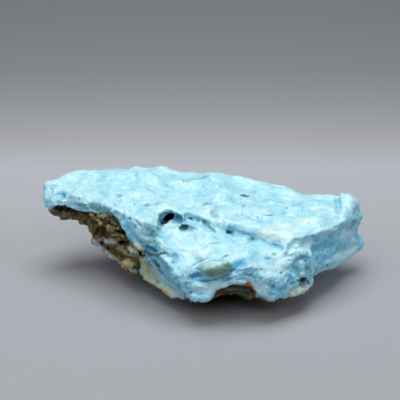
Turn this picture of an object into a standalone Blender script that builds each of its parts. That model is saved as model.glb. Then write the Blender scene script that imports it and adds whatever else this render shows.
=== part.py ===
"""A rough piece of blue aragonite, about 124 mm long, lying on a small natural flat.

The stone is one solid. A waxy blue crust makes the tilted top plate, the terrace in
front of it and the steep right end. A brown, porous matrix has grown into its left
underside and its back. The camera side of the stone is -Y, and +Z is up.

Its main masses are convex hulls, fused on a voxel grid. Rolls and lumps are fused with
them, hollows and pits are carved out, soft noise breaks the faces up, and the mesh is
thinned to a faceted solid and cut flat where it rests.
"""

import math

import bmesh
import bpy
from mathutils import Euler, Matrix, Vector, noise

OBJECT_NAME = "blue_aragonite"
NODE_NAME = "aragonite"
MM = 0.001

# Sizes that drive the build, in millimetres.
FUSE_VOXEL = 0.8
CARVE_VOXEL = 0.6
FINAL_VOXEL = 0.75
MASS_SMOOTHING = 3
CARVED_SMOOTHING = 1
FOOT_LEVEL = 0.0
FOOT_CUTTER_SIZE = 90.0
MOST_TRIANGLES = 9400

# Relief of the waxy crust: feature size and height in millimetres.
BROAD_WAVE = 19.0
BROAD_HEIGHT = 2.2
SWELL_WAVE = 8.0
SWELL_HEIGHT = 1.6
RIPPLE_WAVE = 3.4
RIPPLE_HEIGHT = 0.45

# Relief of the porous matrix, which lies a little behind the crust's edge.
CLOD_SIZE = 5.2
CLOD_HEIGHT = 2.6
VESICLE_SIZE = 7.5
VESICLE_DEPTH = 2.4
VESICLE_REACH = 0.34
MATRIX_RECESS = 0.9
NOISE_SEED = Vector((11.3, 4.7, 8.9))

# How high the crust's lower edge lies, as (X, height) in millimetres: along the front,
# where it climbs to the left wing, and along the back.
FRONT_CRUST_EDGE = [
    (-62.0, 25.0), (-56.0, 26.4), (-47.0, 28.0), (-34.0, 28.6), (-29.5, 26.0), (-26.0, 22.6),
    (-20.0, 18.6), (-16.0, 14.6), (-12.0, 11.4), (-7.0, 8.2), (0.0, 6.4), (10.0, 9.0),
    (24.0, 7.4), (36.0, 6.6), (44.0, 8.4), (62.0, 7.6),
]
BACK_CRUST_EDGE = [
    (-62.0, 25.0), (-48.0, 27.0), (-30.0, 23.0), (-8.0, 26.0), (14.0, 19.0), (34.0, 20.0),
    (50.0, 14.0), (62.0, 8.0),
]
FRONT_ENDS_AT = 4.0
BACK_STARTS_AT = 22.0
EDGE_WAVE = 7.0
EDGE_WANDER = 1.8
EDGE_SOFTNESS = 1.2

# Corner points of the masses, in millimetres, with Z measured from the surface it lies on.
PLATE_LEFT = [
    (-61.0, 22.0, 33.0), (-58.0, 15.5, 30.8), (-51.0, 28.0, 35.2), (-43.0, 30.0, 35.3),
    (-19.0, 32.0, 36.0), (-12.0, 32.0, 34.8), (4.0, 31.0, 33.6), (-49.4, 10.5, 31.8),
    (-41.6, 7.0, 32.3), (-29.8, -3.0, 31.8), (-20.5, -9.5, 31.3), (-15.0, -9.0, 30.8),
    (3.0, -4.5, 30.8), (-60.0, 21.0, 25.5), (-56.0, 13.5, 27.0), (-50.0, 27.0, 23.0),
    (-46.8, 7.0, 28.5), (-40.0, 5.0, 28.5), (-33.7, 0.5, 29.0), (-28.5, -4.5, 26.5),
    (-25.5, -7.5, 24.0), (-19.0, -12.5, 22.0), (2.0, -6.0, 20.0), (4.0, 29.0, 18.0),
]
PLATE_RIGHT = [
    (-8.0, 31.0, 34.0), (4.0, 31.0, 33.6), (9.5, 30.5, 33.2), (19.0, 28.0, 31.8),
    (28.8, 25.0, 28.2), (38.7, 22.0, 25.6), (50.5, 18.8, 26.0), (54.3, 19.0, 28.2),
    (58.4, 17.8, 28.2), (60.0, 16.6, 25.0), (60.6, 16.0, 21.5), (-8.0, -3.5, 31.2),
    (4.0, -5.5, 30.2), (12.0, -7.0, 28.6), (17.0, -8.5, 27.6), (22.0, -10.5, 26.6),
    (28.5, -12.5, 25.0), (34.6, -10.5, 27.3), (44.0, -4.2, 26.6), (50.5, 3.0, 25.0),
    (56.6, 12.0, 24.2), (-8.0, 28.0, 16.0), (28.0, 22.0, 14.0), (52.0, 17.0, 14.0),
    (57.0, 11.0, 16.0), (45.0, -2.0, 16.0), (34.0, -8.0, 16.0), (28.0, -11.0, 16.0),
    (0.0, -4.0, 18.0),
]
TERRACE = [
    (-17.0, -9.0, 28.5), (-15.9, -8.0, 27.4), (4.4, -7.0, 27.2), (12.4, -8.0, 26.4),
    (17.0, -9.5, 25.4), (22.0, -11.5, 24.2), (27.7, -14.0, 23.0), (-13.5, -17.0, 22.6),
    (-1.5, -19.5, 22.9), (9.0, -21.5, 22.6), (14.0, -21.0, 22.0), (20.0, -20.5, 20.8),
    (28.0, -18.0, 20.0), (33.0, -15.6, 21.0), (37.4, -12.9, 21.5), (38.8, -12.4, 15.0), (-8.3, -22.0, 17.5), (3.5, -24.6, 18.8),
    (13.6, -24.6, 19.0), (20.4, -23.6, 17.5), (-4.9, -25.0, 12.6), (0.2, -25.2, 8.8),
    (5.0, -26.3, 12.0), (9.0, -26.5, 15.5), (17.0, -26.0, 12.0), (21.2, -25.2, 9.8),
    (23.0, -24.2, 8.8), (28.8, -19.3, 6.8), (33.6, -16.2, 6.4), (38.2, -12.4, 7.2),
    (-9.2, -18.3, 6.4), (-13.9, -14.3, 5.6), (-15.0, 0.0, 6.0), (30.0, 0.0, 6.0),
    (30.0, 0.0, 22.0), (-15.0, 0.0, 24.0),
]
RIGHT_BLOCK = [
    (36.2, -10.5, 24.0), (40.4, -8.6, 23.6), (44.0, -5.6, 23.8), (47.2, -2.2, 24.1),
    (51.0, 3.0, 23.4), (56.6, 12.0, 24.0), (60.6, 16.5, 21.0), (59.0, 18.0, 16.5),
    (62.0, 17.0, 12.0), (60.6, 14.5, 8.8), (56.4, 8.7, 9.1), (52.0, 3.5, 9.6),
    (45.0, -4.2, 10.4), (41.0, -7.4, 10.2), (36.0, -10.5, 8.0), (52.0, 20.0, 24.0), (50.0, 18.0, 10.0), (20.0, 5.0, 5.0),
    (20.0, 10.0, 24.0),
]
MATRIX_WING = [
    (-60.0, 19.5, 20.0), (-56.5, 13.0, 21.2), (-50.0, 11.5, 19.8), (-46.5, 11.5, 19.6),
    (-42.5, 10.5, 16.5), (-57.5, 14.0, 27.5), (-46.0, 8.6, 28.0), (-37.0, 5.0, 28.0),
    (-36.0, 8.0, 15.0), (-57.0, 26.0, 24.0), (-46.0, 27.0, 20.0), (-36.0, 26.0, 16.0),
]
MATRIX_BODY = [
    (-42.2, 11.5, 15.6), (-40.2, 9.8, 12.3), (-36.0, 6.6, 9.9), (-31.7, 3.5, 7.8),
    (-26.9, -1.5, 6.8), (-20.3, -7.5, 5.7), (-13.9, -13.8, 5.6), (-9.0, -17.8, 6.5),
    (-40.5, 9.0, 24.0), (-35.5, 5.5, 27.0), (-29.0, 0.5, 25.5), (-25.0, -3.8, 22.0),
    (-20.5, -10.3, 18.5), (-14.0, -15.5, 14.0), (-9.0, -19.0, 13.0), (-41.0, 24.0, 14.0),
    (-36.0, 26.0, 10.0), (-20.0, 27.0, 6.5), (0.0, 23.0, 5.0), (0.0, -8.0, 6.0),
]
BACK_BULK = [
    (-46.0, 29.0, 30.0), (-20.0, 32.5, 31.0), (6.0, 32.0, 29.0), (30.0, 26.0, 22.0),
    (-34.0, 28.5, 16.0), (-12.0, 31.0, 10.0), (12.0, 29.0, 8.0), (34.0, 23.5, 9.0),
    (52.0, 20.0, 12.0), (54.0, 20.0, 20.0), (-30.0, 10.0, 12.0), (40.0, 6.0, 10.0),
    (0.0, 0.0, 6.0), (0.0, 0.0, 28.0), (-30.0, 10.0, 28.0), (40.0, 6.0, 24.0),
]
BELLY = [
    (-20.0, 2.0, -2.0), (-12.0, -3.5, -2.0), (2.0, -6.0, -2.0), (16.0, -6.0, -2.0),
    (28.0, -1.0, -2.0), (33.0, 6.0, -2.0), (29.0, 15.0, -2.0), (14.0, 20.0, -2.0),
    (-8.0, 21.0, -2.0), (-20.0, 16.0, -2.0), (-24.0, 8.0, -2.0), (-32.0, 6.0, 8.5),
    (-20.0, -5.0, 7.0), (-8.0, -13.0, 8.0), (6.0, -18.0, 9.5), (20.0, -17.0, 9.0),
    (34.0, -9.0, 8.0), (46.0, 3.0, 10.0), (51.0, 14.0, 10.0), (40.0, 20.0, 9.0),
    (16.0, 26.5, 8.0), (-14.0, 28.0, 9.0), (-33.0, 23.0, 11.0),
]
MASSES = {
    "plate_left": PLATE_LEFT,
    "plate_right": PLATE_RIGHT,
    "terrace": TERRACE,
    "right_block": RIGHT_BLOCK,
    "matrix_wing": MATRIX_WING,
    "matrix_body": MATRIX_BODY,
    "back_bulk": BACK_BULK,
    "belly": BELLY,
}

# Rounded rolls of crust: the points that each follows, and its radius, in millimetres.
ROLLS = {
    "right_ridge": (
        [(28.6, -14.3, 23.2), (30.8, -12.6, 25.4), (34.6, -10.8, 26.6), (39.5, -7.8, 26.2),
         (44.0, -4.8, 25.6), (50.5, 2.6, 24.0), (56.6, 11.6, 23.0), (60.0, 16.6, 21.5)],
        1.9,
    ),
    "terrace_rim": (
        [(-16.9, -5.5, 31.0), (-17.1, -10.0, 29.6), (-15.6, -13.6, 26.0), (-12.8, -17.2, 21.6),
         (-8.2, -21.8, 16.6), (-4.7, -24.6, 12.6)],
        1.3,
    ),
    "crust_lip": (
        [(-59.0, 19.0, 26.5), (-56.5, 13.2, 27.6), (-53.0, 9.8, 28.8), (-46.8, 7.0, 28.4),
         (-40.0, 5.0, 28.4), (-33.7, 1.0, 29.0), (-29.4, -3.4, 26.9), (-26.3, -7.3, 23.4),
         (-20.8, -12.4, 20.6)],
        1.35,
    ),
    "matrix_fold": (
        [(-40.0, 8.2, 17.4), (-35.5, 4.4, 16.8), (-30.6, 0.8, 20.6), (-25.6, -4.6, 17.2),
         (-20.4, -10.0, 17.0)],
        1.5,
    ),
    "matrix_foot": (
        [(-39.8, 9.2, 11.6), (-33.6, 4.4, 9.0), (-28.0, -1.0, 9.6), (-21.0, -7.6, 8.2),
         (-14.0, -13.6, 8.0)],
        1.8,
    ),
    "front_sill": (
        [(-4.0, -25.0, 11.4), (1.0, -25.6, 10.2), (4.2, -25.8, 12.6)],
        1.7,
    ),
    "front_toe": (
        [(17.2, -25.2, 12.2), (21.8, -24.4, 9.8), (27.0, -20.0, 8.4), (33.0, -16.0, 7.6),
         (37.4, -12.6, 8.6)],
        1.5,
    ),
}

# Lumps that stand proud: centre, radii and turn about Z in degrees.
LUMPS = {
    "glassy_lump": ((4.8, -23.2, 20.2), (5.8, 3.4, 3.3), 8.0),
    "blue_lump": ((14.4, -22.6, 20.0), (3.6, 2.6, 2.6), -6.0),
    "tip_knob": ((-57.6, 19.6, 29.4), (3.4, 4.8, 3.6), 25.0),
    "right_knob": ((56.2, 16.6, 25.6), (3.6, 3.4, 3.6), 0.0),
    "right_toe": ((58.8, 15.0, 11.0), (3.2, 3.4, 3.0), 0.0),
    "base_chunk": ((34.2, -13.6, 8.0), (4.6, 3.6, 2.6), 32.0),
    "matrix_knob": ((-27.6, -0.6, 10.6), (4.2, 3.4, 3.6), -40.0),
    "matrix_shoulder": ((-40.6, 11.4, 14.4), (3.6, 4.4, 3.6), 0.0),
    "wing_keel": ((-50.0, 15.0, 22.0), (7.5, 3.6, 2.6), -14.0),
    "back_knob": ((-30.0, 29.0, 27.0), (9.0, 4.6, 6.0), 12.0),
    "back_knob_low": ((12.0, 27.0, 14.0), (11.0, 4.8, 5.5), -10.0),
    "back_knob_right": ((38.0, 22.6, 17.0), (8.0, 4.0, 6.0), -14.0),
}

# Hollows and pits: centre, radii and turn (X, Z) in degrees.
HOLLOWS = {
    "cavity_left": ((-10.8, -9.4, 30.6), (5.4, 5.2, 3.9), (0.0, 0.0)),
    "cavity_right": ((-3.2, -9.8, 30.2), (6.2, 4.8, 3.6), (0.0, -10.0)),
    "cavity_throat": ((-12.2, -3.6, 29.4), (3.8, 4.6, 2.3), (14.0, 10.0)),
    "cavity_nook": ((-4.8, -5.0, 29.9), (2.5, 2.8, 1.6), (12.0, 0.0)),
    "cavity_end": ((0.6, -6.4, 28.8), (1.7, 2.4, 1.5), (8.0, 0.0)),
    "green_pit": ((-5.0, -10.2, 26.4), (3.9, 2.8, 2.8), (0.0, 0.0)),
    "small_hole": ((8.8, -8.6, 27.2), (1.9, 2.6, 1.8), (0.0, 0.0)),
    "right_notch": ((62.0, 15.5, 16.6), (3.4, 6.5, 2.9), (0.0, 0.0)),
    "front_arch": ((10.4, -25.6, 10.2), (6.9, 7.2, 5.2), (0.0, 0.0)),
    "toe_hole": ((35.4, -14.8, 11.6), (2.6, 2.6, 1.9), (0.0, 30.0)),
    "toe_slit": ((30.6, -18.4, 11.0), (2.0, 2.0, 1.3), (0.0, 20.0)),
    "flank_pocket": ((-17.6, -13.6, 22.4), (2.3, 2.6, 1.9), (0.0, -30.0)),
    "flank_slot": ((-12.8, -17.6, 22.2), (2.2, 1.4, 0.9), (0.0, -30.0)),
    "flank_groove": ((-16.2, -15.6, 16.6), (1.5, 2.0, 2.7), (0.0, -40.0)),
    "flank_pit": ((-9.6, -20.6, 12.4), (1.9, 2.0, 1.6), (0.0, -40.0)),
    "matrix_hollow": ((-37.8, 6.0, 21.6), (4.2, 3.6, 3.4), (0.0, -35.0)),
    "matrix_pit": ((-30.4, -0.6, 17.6), (2.3, 2.6, 1.7), (0.0, -40.0)),
    "matrix_crack": ((-21.8, -9.6, 17.4), (2.6, 1.8, 1.5), (0.0, -42.0)),
    "matrix_hole": ((-26.4, -3.6, 9.6), (1.3, 1.6, 1.3), (0.0, 0.0)),
    "ledge_hollow": ((-2.6, -25.2, 18.6), (2.7, 1.9, 1.7), (0.0, 0.0)),
    "slope_slit": ((7.8, -20.8, 23.2), (2.0, 1.1, 1.1), (0.0, 15.0)),
    "tip_pocket": ((-52.8, 12.2, 33.2), (3.0, 3.4, 1.8), (0.0, 20.0)),
    "top_dint_left": ((-17.4, -0.6, 33.6), (3.4, 2.2, 1.3), (0.0, 0.0)),
    "top_dint_middle": ((1.0, 1.2, 32.6), (2.2, 1.8, 1.2), (0.0, 30.0)),
    "top_dint_lower": ((3.8, -2.6, 31.8), (1.9, 2.6, 1.3), (0.0, -25.0)),
    "top_dint_right": ((16.4, 12.0, 32.6), (2.8, 1.6, 1.1), (0.0, 0.0)),
    "top_dint_far": ((-4.0, 24.0, 35.2), (5.2, 2.6, 1.4), (0.0, 0.0)),
    "top_cluster": ((-6.0, 20.0, 34.4), (2.2, 1.8, 1.2), (0.0, 0.0)),
    "back_hollow": ((-12.0, 33.0, 20.0), (9.0, 3.6, 5.0), (0.0, 4.0)),
    "rim_bite_left": ((-34.0, 34.0, 34.0), (8.0, 3.6, 6.0), (0.0, 8.0)),
    "rim_bite_right": ((18.0, 31.5, 31.0), (7.0, 3.4, 7.0), (0.0, -10.0)),
    "rim_bite_end": ((46.0, 24.4, 24.0), (5.0, 3.4, 8.0), (0.0, -12.0)),
    "back_pit": ((24.0, 29.0, 20.0), (5.0, 3.2, 3.4), (0.0, 0.0)),
    "under_hollow": ((-42.0, 19.0, 15.0), (6.0, 5.0, 2.6), (0.0, 0.0)),
}

# Grooves between the forms: the points that each follows, and its radius.
GROOVES = {
    "scarp": (
        [(0.6, -6.2, 30.4), (4.2, -8.8, 29.2), (8.8, -9.6, 28.2), (12.6, -10.6, 27.6),
         (17.0, -11.6, 26.6), (22.0, -13.4, 25.4), (27.4, -15.2, 24.4)],
        1.5,
    ),
    "lump_crease": (
        [(-1.2, -26.0, 17.2), (3.6, -26.2, 16.9), (8.4, -25.6, 18.8), (11.0, -24.6, 20.4)],
        1.0,
    ),
    "crust_shadow": (
        [(-54.0, 12.4, 25.6), (-47.0, 8.4, 25.2), (-40.0, 6.2, 25.4), (-34.0, 2.4, 25.4),
         (-29.6, -1.8, 23.4), (-26.0, -5.6, 20.4)],
        1.6,
    ),
    "right_seam": (
        [(41.4, -9.6, 22.0), (41.0, -10.2, 16.0), (41.2, -9.6, 9.0)],
        1.3,
    ),
}

CRUST_COLOUR = (0.53, 0.78, 0.84, 1.0)
CRUST_ROUGHNESS = 0.42


def clear_scene():
    """Remove the objects that the scene starts with."""
    for leftover in list(bpy.data.objects):
        bpy.data.objects.remove(leftover, do_unlink=True)


def new_collection(name):
    """A collection of this name, linked to the scene."""
    collection = bpy.data.collections.new(name)
    bpy.context.scene.collection.children.link(collection)
    return collection


def object_from(shape, name, collection):
    """A linked object that holds the shape, which is freed."""
    mesh = bpy.data.meshes.new(name)
    shape.to_mesh(mesh)
    shape.free()
    placed = bpy.data.objects.new(name, mesh)
    collection.objects.link(placed)
    return placed


def add_hull(shape, corners):
    """Add the convex hull of these points, in metres, to the shape."""
    verts = [shape.verts.new(corner) for corner in corners]
    hull = bmesh.ops.convex_hull(shape, input=verts)
    inside = {v for v in hull["geom_interior"] if isinstance(v, bmesh.types.BMVert)}
    unused = {v for v in hull["geom_unused"] if isinstance(v, bmesh.types.BMVert)}
    bmesh.ops.delete(shape, geom=list(inside | unused), context="VERTS")


def add_ellipsoid(shape, centre, radii, turn):
    """Add an ellipsoid in millimetres, turned by degrees about X and then about Z."""
    turned = Euler((math.radians(turn[0]), 0.0, math.radians(turn[1]))).to_matrix().to_4x4()
    place = (
        Matrix.Translation(Vector(centre) * MM)
        @ turned
        @ Matrix.Diagonal((*(radius * MM for radius in radii), 1.0))
    )
    bmesh.ops.create_icosphere(shape, subdivisions=3, radius=1.0, matrix=place)


def add_roll(shape, points, radius):
    """Add a rounded roll along the points, one hull for each pair of neighbours."""
    ball = bmesh.new()
    bmesh.ops.create_icosphere(ball, subdivisions=2, radius=radius * MM)
    around = [v.co.copy() for v in ball.verts]
    ball.free()
    stations = [Vector(point) * MM for point in points]
    for start, end in zip(stations, stations[1:]):
        add_hull(shape, [station + offset for station in (start, end) for offset in around])


def baked(thing, collection):
    """Replace the object's mesh by what its modifiers make, and drop the modifiers."""
    graph = bpy.context.evaluated_depsgraph_get()
    mesh = bpy.data.meshes.new_from_object(thing.evaluated_get(graph))
    done = bpy.data.objects.new(thing.name + "_baked", mesh)
    collection.objects.link(done)
    bpy.data.objects.remove(thing, do_unlink=True)
    return done


def remeshed(thing, voxel, collection):
    """The object rebuilt on a voxel grid, which fuses every closed shape in it."""
    remesh = thing.modifiers.new("Fuse", "REMESH")
    remesh.mode = "VOXEL"
    remesh.voxel_size = voxel * MM
    remesh.adaptivity = 0.0
    return baked(thing, collection)


def smoothed(thing, rounds, collection):
    """The object after this many rounds of smoothing."""
    smooth = thing.modifiers.new("Smooth", "SMOOTH")
    smooth.factor = 0.5
    smooth.iterations = rounds
    return baked(thing, collection)


def build_masses(collection):
    """The fused masses, rolls and lumps."""
    shape = bmesh.new()
    for corners in MASSES.values():
        add_hull(shape, [Vector(corner) * MM for corner in corners])
    for points, radius in ROLLS.values():
        add_roll(shape, points, radius)
    for centre, radii, turn in LUMPS.values():
        add_ellipsoid(shape, centre, radii, (0.0, turn))
    masses = object_from(shape, "masses", collection)
    fused = remeshed(masses, FUSE_VOXEL, collection)
    return smoothed(fused, MASS_SMOOTHING, collection)


def build_hollows(collection):
    """One cutter that holds every hollow and groove."""
    shape = bmesh.new()
    for centre, radii, turn in HOLLOWS.values():
        add_ellipsoid(shape, centre, radii, turn)
    for points, radius in GROOVES.values():
        add_roll(shape, points, radius)
    hollows = object_from(shape, "hollows", collection)
    return remeshed(hollows, CARVE_VOXEL, collection)


def carve(stone, cutter, collection):
    """Cut the cutter out of the stone."""
    cut = stone.modifiers.new("Carve", "BOOLEAN")
    cut.operation = "DIFFERENCE"
    cut.solver = "EXACT"
    cut.object = cutter
    carved = baked(stone, collection)
    bpy.data.objects.remove(cutter, do_unlink=True)
    return carved


def smooth_step(low, high, value):
    """0 below low, 1 above high, and a smooth rise between them."""
    share = min(max((value - low) / (high - low), 0.0), 1.0)
    return share * share * (3.0 - 2.0 * share)


def edge_height(edge, x):
    """The height of this edge at x, on straight lines between its points."""
    for (left, low), (right, high) in zip(edge, edge[1:]):
        if x <= right:
            share = min(max((x - left) / (right - left), 0.0), 1.0)
            return low + (high - low) * share
    return edge[-1][1]


def matrix_share(place):
    """1 where the matrix is bare, below the crust's edge, and 0 on the crust."""
    backness = smooth_step(FRONT_ENDS_AT, BACK_STARTS_AT, place.y)
    front = edge_height(FRONT_CRUST_EDGE, place.x)
    back = edge_height(BACK_CRUST_EDGE, place.x)
    edge = front + (back - front) * backness
    edge += EDGE_WANDER * noise.noise(place / EDGE_WAVE + NOISE_SEED)
    return smooth_step(-EDGE_SOFTNESS, EDGE_SOFTNESS, edge - place.z)


def crust_relief(place):
    """Height of the crust's soft swells, in millimetres."""
    broad = noise.noise(place / BROAD_WAVE + NOISE_SEED)
    swell = noise.noise(place / SWELL_WAVE - NOISE_SEED)
    ripple = noise.noise(place / RIPPLE_WAVE + NOISE_SEED)
    return BROAD_HEIGHT * broad + SWELL_HEIGHT * swell + RIPPLE_HEIGHT * ripple


def matrix_relief(place):
    """Height of the matrix's clods and open vesicles, in millimetres."""
    clod = noise.voronoi(place / CLOD_SIZE + NOISE_SEED)[0][0]
    vesicle = noise.voronoi(place / VESICLE_SIZE - NOISE_SEED)[0][0]
    pit = 1.0 - smooth_step(0.0, VESICLE_REACH, vesicle)
    return CLOD_HEIGHT * (0.5 - clod) - VESICLE_DEPTH * pit - MATRIX_RECESS


def surface_height(point):
    """How far the relief lifts the surface at this point, in millimetres."""
    place = point / MM
    bare = matrix_share(place)
    return (1.0 - bare) * crust_relief(place) + bare * matrix_relief(place)


def roughen(stone):
    """Push each vertex along its normal by the relief."""
    shape = bmesh.new()
    shape.from_mesh(stone.data)
    shape.normal_update()
    moved = [v.co + v.normal * surface_height(v.co) * MM for v in shape.verts]
    for vert, place in zip(shape.verts, moved):
        vert.co = place
    shape.to_mesh(stone.data)
    shape.free()


def thinned(stone, collection):
    """The stone with its triangles reduced to the most that it may have."""
    stone.data.calc_loop_triangles()
    thin = stone.modifiers.new("Thin", "DECIMATE")
    thin.ratio = MOST_TRIANGLES / len(stone.data.loop_triangles)
    thin.use_collapse_triangulate = True
    return baked(stone, collection)


def cut_foot(stone, collection):
    """Cut the underside flat where the stone rests."""
    shape = bmesh.new()
    half = FOOT_CUTTER_SIZE / 2
    lowered = Matrix.Translation((0.0, 0.0, (FOOT_LEVEL - half) * MM))
    bmesh.ops.create_cube(shape, size=FOOT_CUTTER_SIZE * MM, matrix=lowered)
    return carve(stone, object_from(shape, "foot_cutter", collection), collection)


def centre_on_origin(stone):
    """Put the middle of the stone's outline over the origin, resting on Z = 0."""
    corners = [vert.co for vert in stone.data.vertices]
    low = Vector([min(corner[axis] for corner in corners) for axis in range(3)])
    high = Vector([max(corner[axis] for corner in corners) for axis in range(3)])
    middle = (low + high) / 2
    shift = Vector((-middle.x, -middle.y, -low.z))
    print("stone moved by", [round(value / MM, 3) for value in shift], "mm")
    stone.data.transform(Matrix.Translation(shift))


def crust_material():
    """The waxy blue of the crust."""
    material = bpy.data.materials.new("aragonite_crust")
    material.use_nodes = True
    shader = material.node_tree.nodes["Principled BSDF"]
    shader.inputs["Base Color"].default_value = CRUST_COLOUR
    shader.inputs["Roughness"].default_value = CRUST_ROUGHNESS
    shader.inputs["Metallic"].default_value = 0.0
    return material


def build_stone():
    """Model the stone as the one object of its collection."""
    clear_scene()
    parts = new_collection(OBJECT_NAME)
    masses = build_masses(parts)
    hollows = build_hollows(parts)
    carved = carve(masses, hollows, parts)
    fused = remeshed(carved, FINAL_VOXEL, parts)
    soft = smoothed(fused, CARVED_SMOOTHING, parts)
    roughen(soft)
    thin = thinned(soft, parts)
    stone = cut_foot(thin, parts)
    centre_on_origin(stone)
    stone.name = NODE_NAME
    stone.data.name = NODE_NAME
    stone.data.materials.clear()
    stone.data.materials.append(crust_material())
    stone.data.shade_smooth()


build_stone()
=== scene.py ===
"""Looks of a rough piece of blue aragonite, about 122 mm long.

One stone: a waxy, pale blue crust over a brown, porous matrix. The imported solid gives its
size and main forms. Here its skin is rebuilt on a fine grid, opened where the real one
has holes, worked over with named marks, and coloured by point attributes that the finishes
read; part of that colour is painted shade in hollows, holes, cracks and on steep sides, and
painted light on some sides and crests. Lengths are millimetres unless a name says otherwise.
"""

import logging
import math
from dataclasses import dataclass, field
from enum import Enum

import bmesh
import bpy
import numpy as np
from mathutils import Euler, Matrix, Vector, noise
from mathutils.bvhtree import BVHTree


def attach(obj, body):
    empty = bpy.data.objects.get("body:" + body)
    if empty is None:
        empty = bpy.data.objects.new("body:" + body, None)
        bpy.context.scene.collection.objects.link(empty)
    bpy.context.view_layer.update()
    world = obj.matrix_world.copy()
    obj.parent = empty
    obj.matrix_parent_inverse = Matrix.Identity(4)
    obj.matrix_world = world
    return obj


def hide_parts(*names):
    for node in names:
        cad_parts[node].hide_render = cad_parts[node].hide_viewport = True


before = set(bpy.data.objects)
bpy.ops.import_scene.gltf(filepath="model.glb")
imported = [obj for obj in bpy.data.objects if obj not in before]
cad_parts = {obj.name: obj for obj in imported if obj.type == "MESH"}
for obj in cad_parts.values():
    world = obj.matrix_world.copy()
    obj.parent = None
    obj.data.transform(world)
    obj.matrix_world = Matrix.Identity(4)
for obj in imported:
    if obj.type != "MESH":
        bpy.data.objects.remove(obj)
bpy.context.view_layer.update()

MM = 0.001
BODY = "root"
NODE = "aragonite"
MIX_FACTOR, MIX_FIRST, MIX_SECOND, MIX_RESULT = 0, 6, 7, 2
SEED = Vector((11.3, 4.7, 8.9))
CELL_STRIDE = 7.3
FOLD_MEAN = 0.22
OUT_OF_REACH = 9.0
PATTERN_DETAIL = 3.0
GRAIN_TWIST = 0.5
log = logging.getLogger("blue_aragonite")


class Tint(Enum):
    """What a mark can colour the stone with, real stains and tones and also painted shade and painted light;
    the value names its point attribute.
    """

    SKY = "sky_blue"
    BLUE = "deep_blue"
    # Dark teal on the crust: partly its own teal-green, partly painted shade in pits, creases and along
    # shaded edges; a pale grey-green on the matrix.
    TEAL = "teal_and_painted_shade"
    GLASS = "glassy_calcite"
    CREAM = "warm_cream"
    WHITE = "white_frost"
    OLIVE = "olive_stain"
    TAN = "tan_stain"
    VEIN = "pale_vein"
    RUST = "rust_stain"
    EARTH = "brown_earth"
    # Near black: painted shade in holes, pockets, cracks, creases and under lips.
    POCKET_SHADE = "painted_pocket_shade"
    # A paler blue than the crust's base, laid on sides and faces: painted light.
    LIT_PALE = "painted_light_blue"
    CYAN = "clear_cyan"


def linear(hex_code: str) -> tuple[float, float, float, float]:
    """Turn an sRGB colour into the linear values that a shader takes.

    Args:
        hex_code: six hex digits, with or without a leading mark.

    Returns:
        Red, green, blue and an alpha of 1.
    """
    digits = hex_code.lstrip("#")
    channels = [int(digits[at:at + 2], 16) / 255 for at in (0, 2, 4)]
    shades = [c / 12.92 if c <= 0.04045 else ((c + 0.055) / 1.055) ** 2.4 for c in channels]
    return (shades[0], shades[1], shades[2], 1.0)


def per(size: float) -> float:
    """The texture scale, in metres, of a pattern whose features measure size millimetres."""
    return 1.0 / (size * MM)


def smooth_step(low: float, high: float, value: np.ndarray) -> np.ndarray:
    """0 below low, 1 above high, and a smooth rise between them, for each value."""
    share = np.clip((value - low) / (high - low), 0.0, 1.0)
    return share * share * (3.0 - 2.0 * share)


def add_node(
    tree: bpy.types.NodeTree, kind: str, inputs: dict | None = None, **settings
) -> bpy.types.Node:
    """Add a node with its settings, and fill or link its inputs.

    Args:
        tree: the node tree.
        kind: the node's type name.
        inputs: values or output sockets, by socket name or number.
        settings: the node's own properties.

    Returns:
        The new node.
    """
    node = tree.nodes.new(kind)
    for name, value in settings.items():
        setattr(node, name, value)
    for key, value in (inputs or {}).items():
        if isinstance(value, bpy.types.NodeSocket):
            tree.links.new(value, node.inputs[key])
        else:
            node.inputs[key].default_value = value
    return node


def link_object(name: str, mesh: bpy.types.Mesh) -> bpy.types.Object:
    """Put a mesh in the scene as an object of its own, and return that."""
    thing = bpy.data.objects.new(name, mesh)
    bpy.context.scene.collection.objects.link(thing)
    return thing


def baked(thing: bpy.types.Object) -> bpy.types.Object:
    """Replace an object by what its modifiers make of it.

    Args:
        thing: the object, which is removed.

    Returns:
        A new object with the plain mesh and the same name.
    """
    name = thing.name
    graph = bpy.context.evaluated_depsgraph_get()
    mesh = bpy.data.meshes.new_from_object(thing.evaluated_get(graph))
    bpy.data.objects.remove(thing, do_unlink=True)
    mesh.name = name
    return link_object(name, mesh)


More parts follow.
